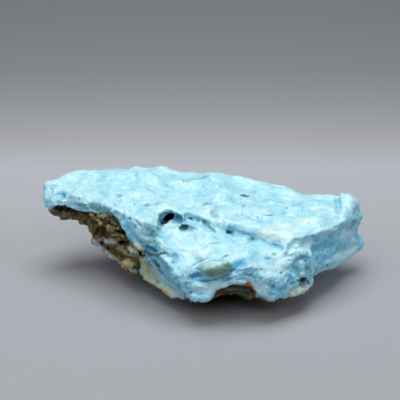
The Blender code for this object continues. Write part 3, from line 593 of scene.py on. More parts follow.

# Marks tinted dark teal or near black, and those named shade or dark, paint shade into pits, cracks,
# creases, under lips and along shaded sides.
MARKS: dict[str, Mark] = {
    "tip_pocket": Mark(((61.5, 195),), (2.5, 1.8), 0.0, -0.7, Tint.SKY, 0.85),
    "tip_pocket_core": Mark(((63.5, 196.3),), (1.5, 1.1), -10.0, -0.4, Tint.BLUE, 0.75),
    "tip_swirl": Mark(
        ((49.5, 190), (51.5, 189), (52.6, 191), (52, 193)), (0.28, 1), 0.0, -0.28, Tint.TEAL, 0.51),
    "tip_shade": Mark(((46.5, 203), (53, 204), (60, 203)), (1.6, 1), 0.0, -0.2, Tint.TEAL, 0.35),
    "tip_top_shade": Mark(((50, 187), (56, 186)), (1.2, 1), 0.0, -0.2, Tint.SKY, 0.5),
    "lip_pale": Mark(((61, 201), (66, 202)), (1.0, 1), 0.0, 0.3, Tint.WHITE, 0.7),
    "lip_shade_left": Mark(((66, 203.5), (77, 205), (88, 207)), (1.4, 1), 0.0, -0.1, Tint.TEAL, 0.42),
    "lip_grey_left": Mark(((70, 198), (78, 199.5), (86, 201)), (1.2, 1), 0.0, -0.2, Tint.TEAL, 0.25),
    "lip_shade_middle": Mark(
        ((92, 205.5), (101, 208.5), (108, 211.5)), (2.0, 1), 0.0, -0.3, Tint.TEAL, 0.75),
    "lip_shade_right": Mark(((115, 212.5), (120, 214), (123, 217)), (1.3, 1), 0.0, -0.3, Tint.TEAL, 0.5),
    "lip_lilac": Mark(((110, 211.5),), (1.5, 0.8), -20.0, 0.2, Tint.CREAM, 0.4),
    "lip_pit_left": Mark(((79, 198.6),), (0.55, 0.5), 0.0, -0.4, Tint.TEAL, 0.7),
    "lip_grey_patch": Mark(((84, 197.5),), (1.2, 0.6), 10.0, -0.25, Tint.TEAL, 0.25),
    "dimple": Mark(((119.3, 195.5),), (1.2, 0.95), 10.0, -0.45, Tint.TEAL, 0.32),
    "speck_a": Mark(((105.8, 177),), (0.3, 0.3), 0.0, -0.3, Tint.TEAL, 0.7),
    "speck_b": Mark(((106.8, 184),), (0.35, 0.3), 0.0, -0.35, Tint.POCKET_SHADE, 0.5),
    "speck_c": Mark(((72, 174),), (0.35, 0.4), 0.0, -0.3, Tint.TEAL, 0.5),
    "speck_d": Mark(((114.5, 204.6),), (0.55, 0.35), -10.0, -0.5, Tint.POCKET_SHADE, 0.55),
    "speck_e": Mark(((123, 208),), (0.35, 0.35), 0.0, -0.35, Tint.TEAL, 0.7),
    "speck_f": Mark(((134.3, 204.3),), (0.45, 0.4), 0.0, -0.35, Tint.TEAL, 0.65),
    "speck_g": Mark(((92, 175.5),), (0.3, 0.3), 0.0, -0.3, Tint.TEAL, 0.5),
    "speck_h": Mark(((136.5, 192.4), (140, 192.8)), (0.19, 1), 0.0, -0.21, Tint.TEAL, 0.42),
    "speck_i": Mark(((130, 210.5),), (0.5, 0.4), 0.0, -0.3, Tint.TEAL, 0.4),
    "notch_line": Mark(((137, 171.5), (136, 175.5)), (0.25, 1), 0.0, -0.28, Tint.TEAL, 0.38),
    "left_blue_patch": Mark(((140, 209), (138, 213)), (1.5, 1), 0.0, -0.2, Tint.SKY, 0.45),
    "blue_mark": Mark(((148, 204.3), (157, 202.6)), (1.7, 1), 0.0, -0.45, Tint.TEAL, 0.22),
    "blue_mark_core": Mark(((147, 205),), (1.1, 0.7), 0.0, -0.35, Tint.BLUE, 0.6),
    "white_shoulder": Mark(((150, 216),), (2.9, 2.6), -30.0, 0.3, Tint.CREAM, 0.3),
    "shoulder_sky": Mark(((142, 214), (148, 219), (154, 220)), (2.0, 1), 0.0, 0.0, Tint.SKY, 0.4),
    "middle_sky": Mark(((172, 201), (182, 203), (194, 199)), (1.6, 1), 0.0, 0.0, Tint.SKY, 0.3),
    "pink_shoulder": Mark(((152, 224.5),), (2.0, 0.5), 0.0, 0.15, Tint.CREAM, 0.5),
    "roof_light": Mark(((168, 208),), (3.4, 1.0), 0.0, 0.2, Tint.CREAM, 0.35),
    # Painted highlight on the lit edge of the cavity's left wall; the two marks after it paint shade inside
    # that wall.
    "wall_edge_highlight": Mark(((157, 216), (157, 226)), (0.6, 1), 0.0, 0.1, Tint.CREAM, 0.45),
    "cavity_wall": Mark(((160.5, 214.5), (160.5, 222)), (1.0, 1), 0.0, 0.0, Tint.TEAL, 0.55),
    "cavity_wall_low": Mark(((160, 229),), (1.0, 0.8), 0.0, -0.2, Tint.TEAL, 0.35),
    "cavity_floor": Mark(((172, 230),), (3.2, 0.9), 0.0, 0.3, Tint.CREAM, 0.5),
    "cavity_blue": Mark(((180.5, 219),), (2.9, 1.4), 0.0, 0.0, Tint.BLUE, 0.85),
    "cavity_blue_teal": Mark(((176, 218), (184, 218)), (1.5, 1), 0.0, 0.0, Tint.TEAL, 0.3),
    "arch_green": Mark(
        ((184, 215), (189, 213.5), (194, 216), (198, 218)), (0.8, 1), 0.0, 0.0, Tint.TEAL, 0.35),
    "pit_halo": Mark(((188.5, 227.5),), (3.0, 1.5), -10.0, -0.2, Tint.TEAL, 0.45),
    "wall_teal": Mark(((174, 222.5), (180, 222.5), (186, 223)), (0.9, 1), 0.0, 0.0, Tint.TEAL, 0.3),
    "pit_shade": Mark(((196, 225), (202, 226)), (1.6, 1), -20.0, 0.0, Tint.SKY, 0.5),
    "scarp_shade": Mark(((204, 221), (208, 227), (215, 231.5)), (0.7, 1), 0.0, -0.2, Tint.TEAL, 0.4),
    "triangle_mark": Mark(((204, 205), (207, 203), (210.5, 203.2)), (1.2, 1), 0.0, -0.5, Tint.TEAL, 0.38),
    "triangle_blot": Mark(((214.5, 211.5),), (1.3, 2.0), -35.0, -0.3, Tint.TEAL, 0.3),
    "triangle_blot_low": Mark(((214.5, 216.3),), (1.7, 0.7), 0.0, -0.2, Tint.TEAL, 0.35),
    "speck_line": Mark(((183, 179), (183.3, 182.5)), (0.25, 1), 0.0, -0.28, Tint.TEAL, 0.68),
    "speck_dark": Mark(((184, 185), (187.5, 183.5)), (0.31, 1), 0.0, -0.42, Tint.POCKET_SHADE, 0.51),
    "speck_white": Mark(((176, 182),), (2.6, 0.9), 10.0, 0.25, Tint.WHITE, 0.7),
    "speck_j": Mark(((178.3, 183.3),), (0.35, 0.35), 0.0, -0.35, Tint.TEAL, 0.6),
    "speck_k": Mark(((176, 180.6),), (0.3, 0.3), 0.0, -0.3, Tint.TEAL, 0.5),
    "speck_l": Mark(((180, 179),), (0.35, 0.3), 0.0, -0.35, Tint.TEAL, 0.55),
    "speck_m": Mark(((173, 188.3),), (0.7, 0.3), 0.0, -0.3, Tint.TEAL, 0.4),
    "green_trough": Mark(
        ((188, 180), (195, 178.5), (203, 178), (207, 175.5)), (1.4, 1), 0.0, -0.4, Tint.TEAL, 0.22),
    "dash": Mark(((204, 186.8), (207, 188.8)), (0.28, 1), 0.0, -0.28, Tint.TEAL, 0.51),
    "speck_n": Mark(((210.5, 180),), (0.4, 0.4), 0.0, -0.3, Tint.TEAL, 0.45),
    "speck_o": Mark(((221, 186.3),), (0.3, 0.5), 0.0, -0.35, Tint.TEAL, 0.5),
    "green_line": Mark(((240.8, 198.5), (240.5, 203), (242, 208)), (0.25, 1), 0.0, -0.24, Tint.TEAL, 0.3),
    "green_blot": Mark(((243.5, 206),), (1.0, 0.7), 30.0, -0.3, Tint.TEAL, 0.3),
    "lilac_blot": Mark(((253.5, 191.5),), (1.2, 0.5), 10.0, -0.2, Tint.TEAL, 0.22),
    "speck_p": Mark(((254.8, 193),), (0.3, 0.3), 0.0, -0.3, Tint.TEAL, 0.5),
    "sky_run": Mark(((262, 200), (270, 198), (280, 202)), (1.3, 1), 0.0, -0.2, Tint.SKY, 0.45),
    "sky_run_right": Mark(((293, 206), (297, 204), (303, 207)), (1.1, 1), 0.0, -0.35, Tint.SKY, 0.55),
    "speck_q": Mark(((286.6, 208),), (0.45, 0.4), 0.0, -0.45, Tint.TEAL, 0.75),
    "speck_r": Mark(((302, 211),), (0.35, 0.35), 0.0, -0.35, Tint.TEAL, 0.6),
    "long_speck": Mark(
        ((264.5, 215.3), (268, 216.2), (273, 215.5)), (0.37, 1), 0.0, -0.35, Tint.TEAL, 0.42),
    "speck_s": Mark(((258, 217.5),), (0.9, 0.6), 40.0, -0.3, Tint.TEAL, 0.3),
    "olive_speck": Mark(((307.3, 222.5), (310.3, 224)), (0.31, 1), 0.0, -0.42, Tint.OLIVE, 0.77),
    "pink_speck": Mark(((313, 211), (318.5, 211)), (0.22, 1), 0.0, -0.21, Tint.TAN, 0.51),
    "white_brow": Mark(((315, 208),), (2.6, 0.7), 0.0, 0.2, Tint.WHITE, 0.6),
    "speck_t": Mark(((238, 216),), (0.35, 0.35), 0.0, -0.35, Tint.TEAL, 0.6),
    "speck_u": Mark(((223.3, 220.5),), (0.4, 0.35), 0.0, -0.35, Tint.TEAL, 0.5),
    "speck_v": Mark(((226, 218.5),), (0.35, 0.3), 0.0, -0.3, Tint.TEAL, 0.4),
    "speck_w": Mark(((223.8, 226),), (0.4, 0.3), 0.0, -0.35, Tint.TEAL, 0.5),
    "speck_x": Mark(((230.5, 227.5),), (0.5, 0.3), -30.0, -0.3, Tint.TEAL, 0.45),
    "speck_y": Mark(((268, 230.8),), (0.4, 0.5), 0.0, -0.4, Tint.TAN, 0.7),
    "speck_z": Mark(((242, 215),), (0.5, 0.4), 0.0, -0.3, Tint.TEAL, 0.35),
    "cream_plateau": Mark(((276, 233),), (8.0, 3.6), 0.0, 0.0, Tint.CREAM, 0.6),
    "cream_right": Mark(((305, 221),), (5.0, 1.7), 5.0, 0.0, Tint.CREAM, 0.55),
    "cream_middle": Mark(((233, 212),), (3.4, 1.3), 0.0, 0.0, Tint.CREAM, 0.35),
    "cream_shoulder": Mark(((96, 195),), (2.4, 1.6), 60.0, 0.0, Tint.CREAM, 0.35),
    "grey_bowl": Mark(((249, 217), (258, 221), (270, 222)), (1.5, 1), 0.0, -0.35, Tint.SKY, 0.35),
    "edge_hollow": Mark(((232, 234),), (0.8, 1.1), 0.0, -0.3, Tint.TEAL, 0.4),
    "trough_blue": Mark(((236, 235), (243, 235.5), (251, 237.5)), (1.3, 1), 0.0, 0.0, Tint.BLUE, 0.65),
    "trough_green": Mark(((249, 240), (256, 240.5)), (1.0, 1), 0.0, 0.0, Tint.TEAL, 0.45),
    "trough_shade": Mark(
        ((258, 241), (266, 245), (278, 247), (283, 250)), (0.9, 1), 0.0, 0.0, Tint.SKY, 0.6),
    "junction": Mark(((287, 253), (289, 245), (295, 240), (302, 236)), (0.9, 1), 0.0, -0.2, Tint.TEAL, 0.3),
    "ridge_green": Mark(((293, 241), (302, 236), (312, 233)), (1.5, 1), 0.0, 0.0, Tint.TEAL, 0.16),
    # Pale frost on the up-facing slope, partly painted light that brightens the slope.
    "slope_frost_and_light": Mark(((196, 252),), (5.0, 2.6), -20.0, 0.0, Tint.WHITE, 0.3),
    "floor_frost_and_light": Mark(((180, 238), (196, 240), (208, 240)), (2.2, 1), 0.0, 0.0, Tint.WHITE, 0.35),
    "slope_fold_a": Mark(((202, 249), (209, 244), (220, 241)), (0.8, 1), 0.0, -0.35, Tint.TEAL, 0.12),
    "slope_fold_b": Mark(
        ((183, 250.5), (190, 252.5), (195, 250.5)), (0.25, 1), 0.0, -0.24, Tint.TEAL, 0.21),
    "slope_fold_c": Mark(((193, 266), (199, 262), (207, 259.3)), (0.28, 1), 0.0, -0.28, Tint.TEAL, 0.34),
    "slope_fold_d": Mark(((196, 268), (200, 270.3)), (0.31, 1), 0.0, -0.35, Tint.TEAL, 0.51),
    "slope_pit_a": Mark(((274.5, 254.5),), (1.2, 0.55), 0.0, -0.5, Tint.TEAL, 0.35),
    "slope_pit_b": Mark(((268.5, 258.6),), (1.7, 0.7), -6.0, -0.5, Tint.BLUE, 0.45),
    "slope_pit_c": Mark(((250.5, 268), (253.8, 266.3)), (0.31, 1), 0.0, -0.35, Tint.TEAL, 0.59),
    "slope_pit_d": Mark(((261.6, 269.6),), (0.4, 0.35), 0.0, -0.4, Tint.TEAL, 0.8),
    "slope_pit_e": Mark(((281, 273),), (0.7, 0.35), 0.0, -0.35, Tint.TEAL, 0.5),
    "slope_pit_f": Mark(((290.3, 252.3),), (0.6, 0.4), 0.0, -0.4, Tint.TEAL, 0.55),
    "slope_pit_g": Mark(((296, 248.8),), (0.8, 0.35), 0.0, -0.35, Tint.TEAL, 0.4),
    "sky_slope": Mark(((258, 258),), (3.8, 1.3), -4.0, 0.0, Tint.SKY, 0.6),
    "sky_slope_left": Mark(((166, 238), (172, 245), (178, 252)), (2.0, 1), 0.0, 0.0, Tint.SKY, 0.5),
    "sky_slope_middle": Mark(((236, 249), (246, 249), (256, 253)), (1.8, 1), 0.0, 0.0, Tint.SKY, 0.5),
    # Pale frost on the terrace, partly painted light.
    "terrace_frost_and_light": Mark(((278, 258), (285, 263)), (2.2, 1), 0.0, 0.0, Tint.WHITE, 0.4),
    "glass_body": Mark(((209, 273), (216, 271), (223, 269), (229, 266.5)), (2.0, 1), 0.0, 0.0, Tint.GLASS),
    "glass_left": Mark(((201, 269), (208, 268), (214, 266)), (1.9, 1), 0.0, 0.0, Tint.GLASS, 0.6),
    "glass_top": Mark(
        ((206, 263), (214, 261), (224, 260.5), (229, 263)), (1.2, 1), 0.0, 0.1, Tint.GLASS, 0.35),
    "glass_pale": Mark(((207, 265), (214, 263.5)), (1.3, 1), 0.0, 0.0, Tint.VEIN, 0.45),
    "glass_dark": Mark(((213, 275.5), (221, 273.5), (229, 268.5)), (1.5, 1), 0.0, -0.2, Tint.TEAL, 0.5),
    "glass_rim": Mark(((212, 279), (222, 276.5), (231.5, 271)), (0.4, 1), 0.0, -0.5, Tint.POCKET_SHADE, 0.7),
    "glass_fold": Mark(((222, 264), (226, 267), (230, 267.5)), (0.3, 1), 0.0, -0.3, Tint.TEAL, 0.4),
    "blue_patch": Mark(((240, 263.5),), (4.0, 2.2), 0.0, 0.0, Tint.SKY, 0.9),
    "blue_patch_core": Mark(((236, 265), (244, 262.5)), (1.6, 1), 0.0, 0.0, Tint.BLUE, 0.65),
    "blue_patch_deep": Mark(((232.5, 267),), (1.0, 1.0), 50.0, -0.3, Tint.BLUE, 0.9),
    "blue_patch_line": Mark(((233, 270), (241, 270), (249, 269.6)), (0.28, 1), 0.0, -0.28, Tint.TEAL, 0.51),
    "teal_patch": Mark(((197, 276.5),), (3.0, 1.7), 5.0, 0.0, Tint.BLUE, 0.65),
    "band_fold_a": Mark(
        ((218, 283), (230, 279), (241, 275), (252, 275)), (0.6, 1), 0.0, -0.4, Tint.SKY, 0.5),
    "band_fold_b": Mark(((232, 276), (238, 272.5)), (0.37, 1), 0.0, -0.24, Tint.TEAL, 0.26),
    "band_fold_c": Mark(((246, 275), (254, 278), (262, 277.5)), (0.28, 1), 0.0, -0.24, Tint.TEAL, 0.34),
    "band_blue_a": Mark(((194, 290),), (1.8, 1.3), 0.0, -0.2, Tint.BLUE, 0.4),
    "band_blue_b": Mark(((204, 294),), (2.4, 1.0), 0.0, -0.2, Tint.BLUE, 0.3),
    "band_pit_a": Mark(((190.5, 292.6),), (0.7, 0.45), 0.0, -0.5, Tint.POCKET_SHADE, 0.8),
    "band_pit_b": Mark(((184.3, 294.3),), (0.6, 0.4), -40.0, -0.4, Tint.POCKET_SHADE, 0.6),
    "band_pit_c": Mark(((208, 286),), (0.7, 0.5), 0.0, -0.4, Tint.TEAL, 0.5),
    "toe_teal": Mark(((271, 287),), (1.9, 1.2), -20.0, 0.0, Tint.TEAL, 0.55),
    "toe_teal_right": Mark(((287, 282), (294, 278)), (1.1, 1), 0.0, -0.2, Tint.BLUE, 0.4),
    "toe_blue": Mark(((284, 289),), (2.4, 1.4), 20.0, -0.2, Tint.BLUE, 0.4),
    "toe_base": Mark(((266, 295),), (2.6, 1.2), 0.0, 0.0, Tint.TEAL, 0.3),
    "arch_lip": Mark(
        ((219, 285.5), (227, 282), (238, 281), (246, 283)), (0.5, 1), 0.0, 0.3, Tint.WHITE, 0.2),
    "orange_glow": Mark(((249, 282.5), (253, 286), (257, 290)), (1.2, 1), 0.0, 0.0, Tint.CREAM, 0.9),
    "orange_vein": Mark(((247.5, 284), (250, 288), (254, 292)), (1.4, 1), 0.0, 0.2, Tint.RUST, 1.0),
    "base_chunk_olive": Mark(
        ((289, 294), (298, 291.5), (308, 287.5)), (1.5, 1), 0.0, 0.0, Tint.OLIVE, 0.65),
    "base_chunk_shade": Mark(((289, 292), (298, 289.5)), (1.2, 1), 0.0, 0.0, Tint.TEAL, 0.2),
    "base_pit_a": Mark(((290, 293.3),), (0.7, 0.4), 0.0, -0.4, Tint.POCKET_SHADE, 0.5),
    "base_pit_b": Mark(((296, 291.2),), (0.7, 0.45), 0.0, -0.4, Tint.POCKET_SHADE, 0.55),
    "toe_hole_rim": Mark(((309.8, 281), (311, 285)), (0.7, 1), 0.0, 0.3, Tint.VEIN, 0.6),
    "toe_hole_roof": Mark(
        ((298, 281), (301.5, 278.8), (307, 279.5), (309.5, 284)), (0.6, 1), 0.0, -0.4, Tint.POCKET_SHADE, 0.75),
    "toe_hole_floor": Mark(((300, 284.5), (306, 285.5)), (1.2, 1), 0.0, -0.3, Tint.TEAL, 0.4),
    "toe_hole_pink": Mark(((303, 275.5),), (1.8, 0.6), 10.0, 0.2, Tint.CREAM, 0.35),
    "corner_pits_a": Mark(((306, 261),), (0.6, 0.5), 0.0, -0.5, Tint.TEAL, 0.8),
    "corner_shade_a": Mark(((296, 262), (301, 257), (308, 259)), (1.3, 1), 0.0, -0.2, Tint.BLUE, 0.45),
    "corner_shade_c": Mark(((297, 266), (297, 273)), (1.2, 1), 0.0, 0.0, Tint.TEAL, 0.3),
    "corner_shade_b": Mark(((307, 269),), (1.2, 1.7), 0.0, -0.2, Tint.TEAL, 0.42),
    "corner_crack": Mark(((312.3, 267), (312.3, 276), (311.8, 286)), (0.4, 1), 0.0, 0.1, Tint.CREAM, 0.7),
    "corner_tan": Mark(((318, 271), (327, 269), (336, 264)), (0.8, 1), 0.0, 0.2, Tint.VEIN, 0.45),
    "step_line": Mark(((339.5, 203.5), (340, 209.5)), (0.34, 1), 0.0, -0.56, Tint.TEAL, 0.64),
    # The pale marks in this group, from knob_pale to toe_pale, lay painted light on sides and faces.
    "knob_pale": Mark(((350, 205),), (3.0, 3.2), 0.0, 0.0, Tint.LIT_PALE, 0.9),
    "knob_teal": Mark(((355, 221), (352, 225)), (1.5, 1), 0.0, 0.0, Tint.TEAL, 0.5),
    "knob_cyan": Mark(((354, 215),), (1.6, 0.8), 0.0, 0.0, Tint.SKY, 0.6),
    "end_edge": Mark(((360, 233), (361.5, 240), (360, 247)), (2.2, 1), 0.0, 0.0, Tint.CYAN, 0.4),
    "end_white": Mark(((355, 242),), (1.8, 1.2), 0.0, 0.2, Tint.WHITE, 0.45),
    "end_cyan": Mark(((338, 249), (344, 247.5), (350, 246)), (1.3, 1), 0.0, 0.0, Tint.CYAN, 0.4),
    "end_pale": Mark(((343, 235), (350, 238), (351, 244)), (2.8, 1), 0.0, 0.0, Tint.LIT_PALE, 1.0),
    "face_cyan": Mark(((322, 252), (336, 246), (348, 240)), (2.6, 1), 0.0, 0.0, Tint.CYAN, 0.3),
    "face_pale": Mark(((336, 258), (346, 254), (356, 249)), (1.8, 1), 0.0, 0.0, Tint.LIT_PALE, 0.9),
    "corner_pale": Mark(((294, 254), (299, 247), (307, 242)), (2.6, 1), 0.0, 0.0, Tint.LIT_PALE, 0.85),
    "tip_pale": Mark(((47, 190), (47, 198)), (1.6, 1), 0.0, 0.0, Tint.LIT_PALE, 0.8),
    "band_pale": Mark(((196, 287), (208, 290), (222, 284)), (1.8, 1), 0.0, 0.0, Tint.LIT_PALE, 0.9),
    "band_blue_c": Mark(((222, 281), (232, 277), (242, 277)), (1.2, 1), 0.0, 0.0, Tint.BLUE, 0.08),
    "toe_pale": Mark(((261, 286), (264, 293)), (2.2, 1), 0.0, 0.0, Tint.LIT_PALE, 0.75),
    "face_pit_a": Mark(((341, 244.5),), (0.55, 0.6), 0.0, -0.5, Tint.TEAL, 0.8),
    "face_pit_b": Mark(((337.5, 248.6),), (0.7, 0.7), 0.0, -0.6, Tint.TEAL, 0.8),
    "face_pit_c": Mark(((349.5, 239),), (0.5, 0.6), 0.0, -0.5, Tint.BLUE, 0.7),
    "face_pit_d": Mark(((327, 266),), (0.55, 0.6), 0.0, -0.5, Tint.TEAL, 0.85),
    "face_pit_e": Mark(((317, 259),), (0.8, 1.0), 20.0, -0.4, Tint.BLUE, 0.7),
    "face_shade_a": Mark(((315, 249), (320, 248), (326, 243)), (1.5, 1), 0.0, 0.0, Tint.BLUE, 0.35),
    "face_shade_b": Mark(((331, 236),), (2.0, 1.2), 40.0, 0.0, Tint.BLUE, 0.25),
    "face_shade_c": Mark(((322, 262),), (2.4, 1.5), 20.0, 0.0, Tint.BLUE, 0.3),
    "face_frost": Mark(((338, 256),), (2.6, 1.0), 30.0, 0.15, Tint.WHITE, 0.4),
    # Painted highlight along the ridge's crest.
    "ridge_crest_highlight": Mark(((324, 232), (332, 229)), (1.1, 1), 0.0, 0.2, Tint.CREAM, 0.5),
    "flank_teal": Mark(((145, 230), (150, 229), (155, 232)), (2.6, 1), 0.0, -0.2, Tint.TEAL, 0.56),
    # flank_pale lays painted light on the flank.
    "flank_pale": Mark(((142, 238), (150, 241)), (1.8, 1), 0.0, 0.2, Tint.LIT_PALE, 0.6),
    "flank_line_a": Mark(((136, 221), (141, 227)), (0.8, 1), 0.0, -0.4, Tint.TEAL, 0.4),
    "flank_line_b": Mark(((133, 234), (137, 238), (141, 243)), (0.37, 1), 0.0, -0.32, Tint.BLUE, 0.51),
    "flank_blue": Mark(((127, 226), (131, 233)), (1.2, 1), 0.0, 0.0, Tint.BLUE, 0.25),
    "flank_line_c": Mark(
        ((148, 243), (156, 242), (164, 247), (170, 251)), (0.31, 1), 0.0, -0.28, Tint.BLUE, 0.38),
    "flank_pink": Mark(((162, 246),), (1.4, 0.7), -40.0, 0.1, Tint.CREAM, 0.35),
    "flank_crack_shade": Mark(((145, 251), (150, 254.5), (157, 256)), (0.6, 1), 0.0, -0.5, Tint.POCKET_SHADE, 0.85),
    "flank_crack_right": Mark(
        ((157.5, 255.5), (161, 253.4), (165, 253.6)), (0.45, 1), 0.0, -0.4, Tint.POCKET_SHADE, 0.65),
    "flank_wedge": Mark(((148, 247), (152.5, 249), (157, 251)), (1.2, 1), 0.0, -0.4, Tint.BLUE, 0.9),
    "flank_wedge_core": Mark(((151, 249), (156, 251)), (0.7, 1), 0.0, -0.3, Tint.TEAL, 0.8),
    "long_pit_shade": Mark(((153, 261), (158, 266), (161, 270)), (0.9, 1), 0.0, 0.0, Tint.BLUE, 0.6),
    "low_pit_shade": Mark(((174, 282), (180, 288)), (0.9, 1), 0.0, 0.0, Tint.BLUE, 0.5),
    "flank_sky": Mark(((162, 262), (168, 268), (174, 276)), (2.2, 1), 0.0, 0.0, Tint.BLUE, 0.4),
    "bright_patch": Mark(((175, 257),), (1.3, 2.2), 12.0, -0.3, Tint.BLUE, 0.75),
    "bright_patch_low": Mark(((173, 262),), (0.7, 0.6), 0.0, -0.3, Tint.TEAL, 0.6),
    "flank_low_blue": Mark(((171, 271),), (1.6, 0.9), 30.0, -0.3, Tint.BLUE, 0.5),
    "olive_face_a": Mark(((143, 262), (144, 270), (147, 278), (152, 285)), (2.4, 1), 0.0, 0.0, Tint.OLIVE),
    "olive_face_b": Mark(((150, 266), (155, 275), (161, 282)), (1.6, 1), 0.0, 0.0, Tint.OLIVE, 0.6),
    "olive_face_teal": Mark(((156, 281),), (1.9, 1.2), -30.0, -0.3, Tint.TEAL, 0.42),
    "olive_pit_a": Mark(((143.5, 275),), (0.6, 0.5), 0.0, -0.5, Tint.POCKET_SHADE, 0.35),
    "olive_pit_b": Mark(((149, 271.5),), (0.5, 0.7), 0.0, -0.4, Tint.TEAL, 0.35),
    "olive_pit_c": Mark(((161.5, 289),), (0.7, 0.5), 0.0, -0.4, Tint.POCKET_SHADE, 0.3),
    "olive_green": Mark(((148, 270), (151, 279)), (1.2, 1), 0.0, -0.2, Tint.TEAL, 0.16),
    "olive_face_c": Mark(((156, 289), (163, 290), (170, 293)), (1.8, 1), 0.0, 0.0, Tint.TAN),
    "olive_face_d": Mark(((169, 288), (175, 292), (182, 295)), (1.5, 1), 0.0, 0.0, Tint.VEIN, 0.6),
    "olive_cream": Mark(
        ((148, 260), (154, 268), (161, 277), (168, 284)), (0.6, 1), 0.0, 0.0, Tint.WHITE, 0.6),
    "cell_tan": Mark(((129, 265),), (2.9, 2.2), -20.0, 0.0, Tint.TAN, 1.0),
    "cell_white": Mark(((133, 270.5),), (1.2, 0.7), 0.0, 0.0, Tint.VEIN, 0.9),
    "cell_crease": Mark(((124, 257), (133, 257.3)), (0.7, 1), 0.0, -0.8, Tint.POCKET_SHADE, 0.8),
    "cell_side": Mark(((138, 262), (138.5, 271)), (0.8, 1), 0.0, -0.7, Tint.POCKET_SHADE, 0.7),
    "cell_left": Mark(((119, 252), (121.5, 259)), (0.9, 1), 0.0, -0.8, Tint.POCKET_SHADE, 0.7),
    "cell_brow": Mark(((124, 251), (128, 255), (136, 255)), (1.0, 1), 0.0, 0.5, Tint.OLIVE, 0.7),
    "lens_one": Mark(((110, 241.5),), (3.0, 1.1), -4.0, 0.0, Tint.VEIN, 0.95),
    "lens_one_teal": Mark(((104, 242), (114, 242.5)), (0.8, 1), 0.0, 0.0, Tint.CYAN, 0.35),
    "lens_two": Mark(((131.5, 250.5),), (2.4, 1.2), -22.0, 0.0, Tint.VEIN, 1.0),
    "lens_two_blue": Mark(((129, 249.5), (135, 252.5)), (0.7, 1), 0.0, 0.0, Tint.CYAN, 0.35),
    "lens_three": Mark(((136, 253),), (1.2, 0.7), -30.0, 0.0, Tint.SKY, 0.4),
    "olive_yellow": Mark(((113, 236), (118, 234.5), (123, 236.5)), (0.8, 1), 0.0, 0.0, Tint.OLIVE, 1.0),
    "olive_strip": Mark(((129, 242), (136, 246.5), (143, 250)), (0.8, 1), 0.0, 0.0, Tint.TAN, 0.75),
    "olive_knot": Mark(((121, 248),), (1.5, 1.0), 40.0, 0.4, Tint.OLIVE, 0.8),
    "pink_spot": Mark(((113, 248),), (1.0, 0.7), -30.0, 0.2, Tint.RUST, 0.5),
    "pink_crease": Mark(((106, 247), (111, 250)), (0.37, 1), 0.0, -0.42, Tint.POCKET_SHADE, 0.59),
    "low_rib_grey": Mark(
        ((93, 241), (99, 248), (108, 255), (116, 263), (121, 269)), (1.4, 1), 0.0, 0.0, Tint.VEIN, 0.75),
    "low_rib_green": Mark(
        ((95, 243), (101, 250), (111, 258), (119, 266)), (1.0, 1), 0.0, 0.0, Tint.TEAL, 0.5),
    "low_rib_gap": Mark(((103, 250), (106, 255)), (0.5, 1), 0.0, -0.5, Tint.POCKET_SHADE, 0.4),
    "low_rib_step": Mark(((112, 258), (115, 260)), (0.5, 1), 0.0, -0.5, Tint.POCKET_SHADE, 0.4),
    "tan_knee": Mark(((107, 218),), (1.6, 1.0), -20.0, 0.4, Tint.TAN, 0.6),
    "tan_ledge": Mark(((97, 240), (104, 238)), (0.6, 1), 0.0, 0.4, Tint.VEIN, 0.5),
    "wing_dark": Mark(((60, 212), (70, 213), (80, 215), (88, 216)), (1.6, 1), 0.0, 0.0, Tint.POCKET_SHADE, 0.2),
    "lip_dark": Mark(
        ((56, 207.5), (64, 206.5), (76, 210.5), (86, 213)), (0.7, 1), 0.0, -0.5, Tint.POCKET_SHADE, 0.85),
    "arch_wall": Mark(
        ((220, 293), (227, 289), (238, 287.5), (248, 290.5)), (2.8, 1), 0.0, 0.0, Tint.EARTH, 0.8),
    "arch_wall_low": Mark(
        ((218, 296), (230, 294), (242, 294), (252, 295)), (2.6, 1), 0.0, 0.0, Tint.EARTH, 0.8),
    "arch_step": Mark(((225, 292), (236, 291.2), (249, 292.8)), (0.5, 1), 0.0, -0.5, Tint.POCKET_SHADE, 0.5),
    "arch_roof": Mark(
        ((224, 288.5), (231, 286.5), (240, 286.5), (246, 288.5)), (0.6, 1), 0.0, -0.2, Tint.POCKET_SHADE, 0.5),
    "arch_band_a": Mark(((226, 290.5), (236, 289.5), (248, 291)), (0.8, 1), 0.0, 0.3, Tint.SKY, 0.45),
    "arch_band_b": Mark(((226, 293.5), (238, 292.5), (250, 294.5)), (0.7, 1), 0.0, 0.3, Tint.TEAL, 0.5),
    "arch_left_brown": Mark(((219, 294), (224, 290)), (1.0, 1), 0.0, 0.0, Tint.RUST, 0.35),
    "right_dark": Mark(((112, 216), (118, 222), (124, 231)), (1.2, 1), 0.0, -0.4, Tint.POCKET_SHADE, 0.6),
    "hollow_rim": Mark(((95, 226), (101, 224), (109, 226)), (0.6, 1), 0.0, 0.3, Tint.TAN, 0.35),
}


def off_path(points: np.ndarray, path: np.ndarray) -> tuple[np.ndarray, np.ndarray]:
    """How far 2-D points are from a path, and on which side of it they lie.

    Args:
        points: one row for each point.
        path: one row for each corner of the path.

    Returns:
        The distances, and 1 for points left of the path or -1 for those right of it.
    """
    best = np.full(len(points), np.inf)
    hand = np.ones(len(points))
    for start, end in zip(path, path[1:]):
        run = end - start
        share = np.clip((points - start) @ run / (run @ run), 0.0, 1.0)
        gap = points - start - share[:, None] * run
        far = np.einsum("ij,ij->i", gap, gap)
        nearer = far < best
        best = np.where(nearer, far, best)
        cross = run[0] * (points[:, 1] - start[1]) - run[1] * (points[:, 0] - start[0])
        hand = np.where(nearer, np.sign(cross), hand)
    return np.sqrt(best), hand


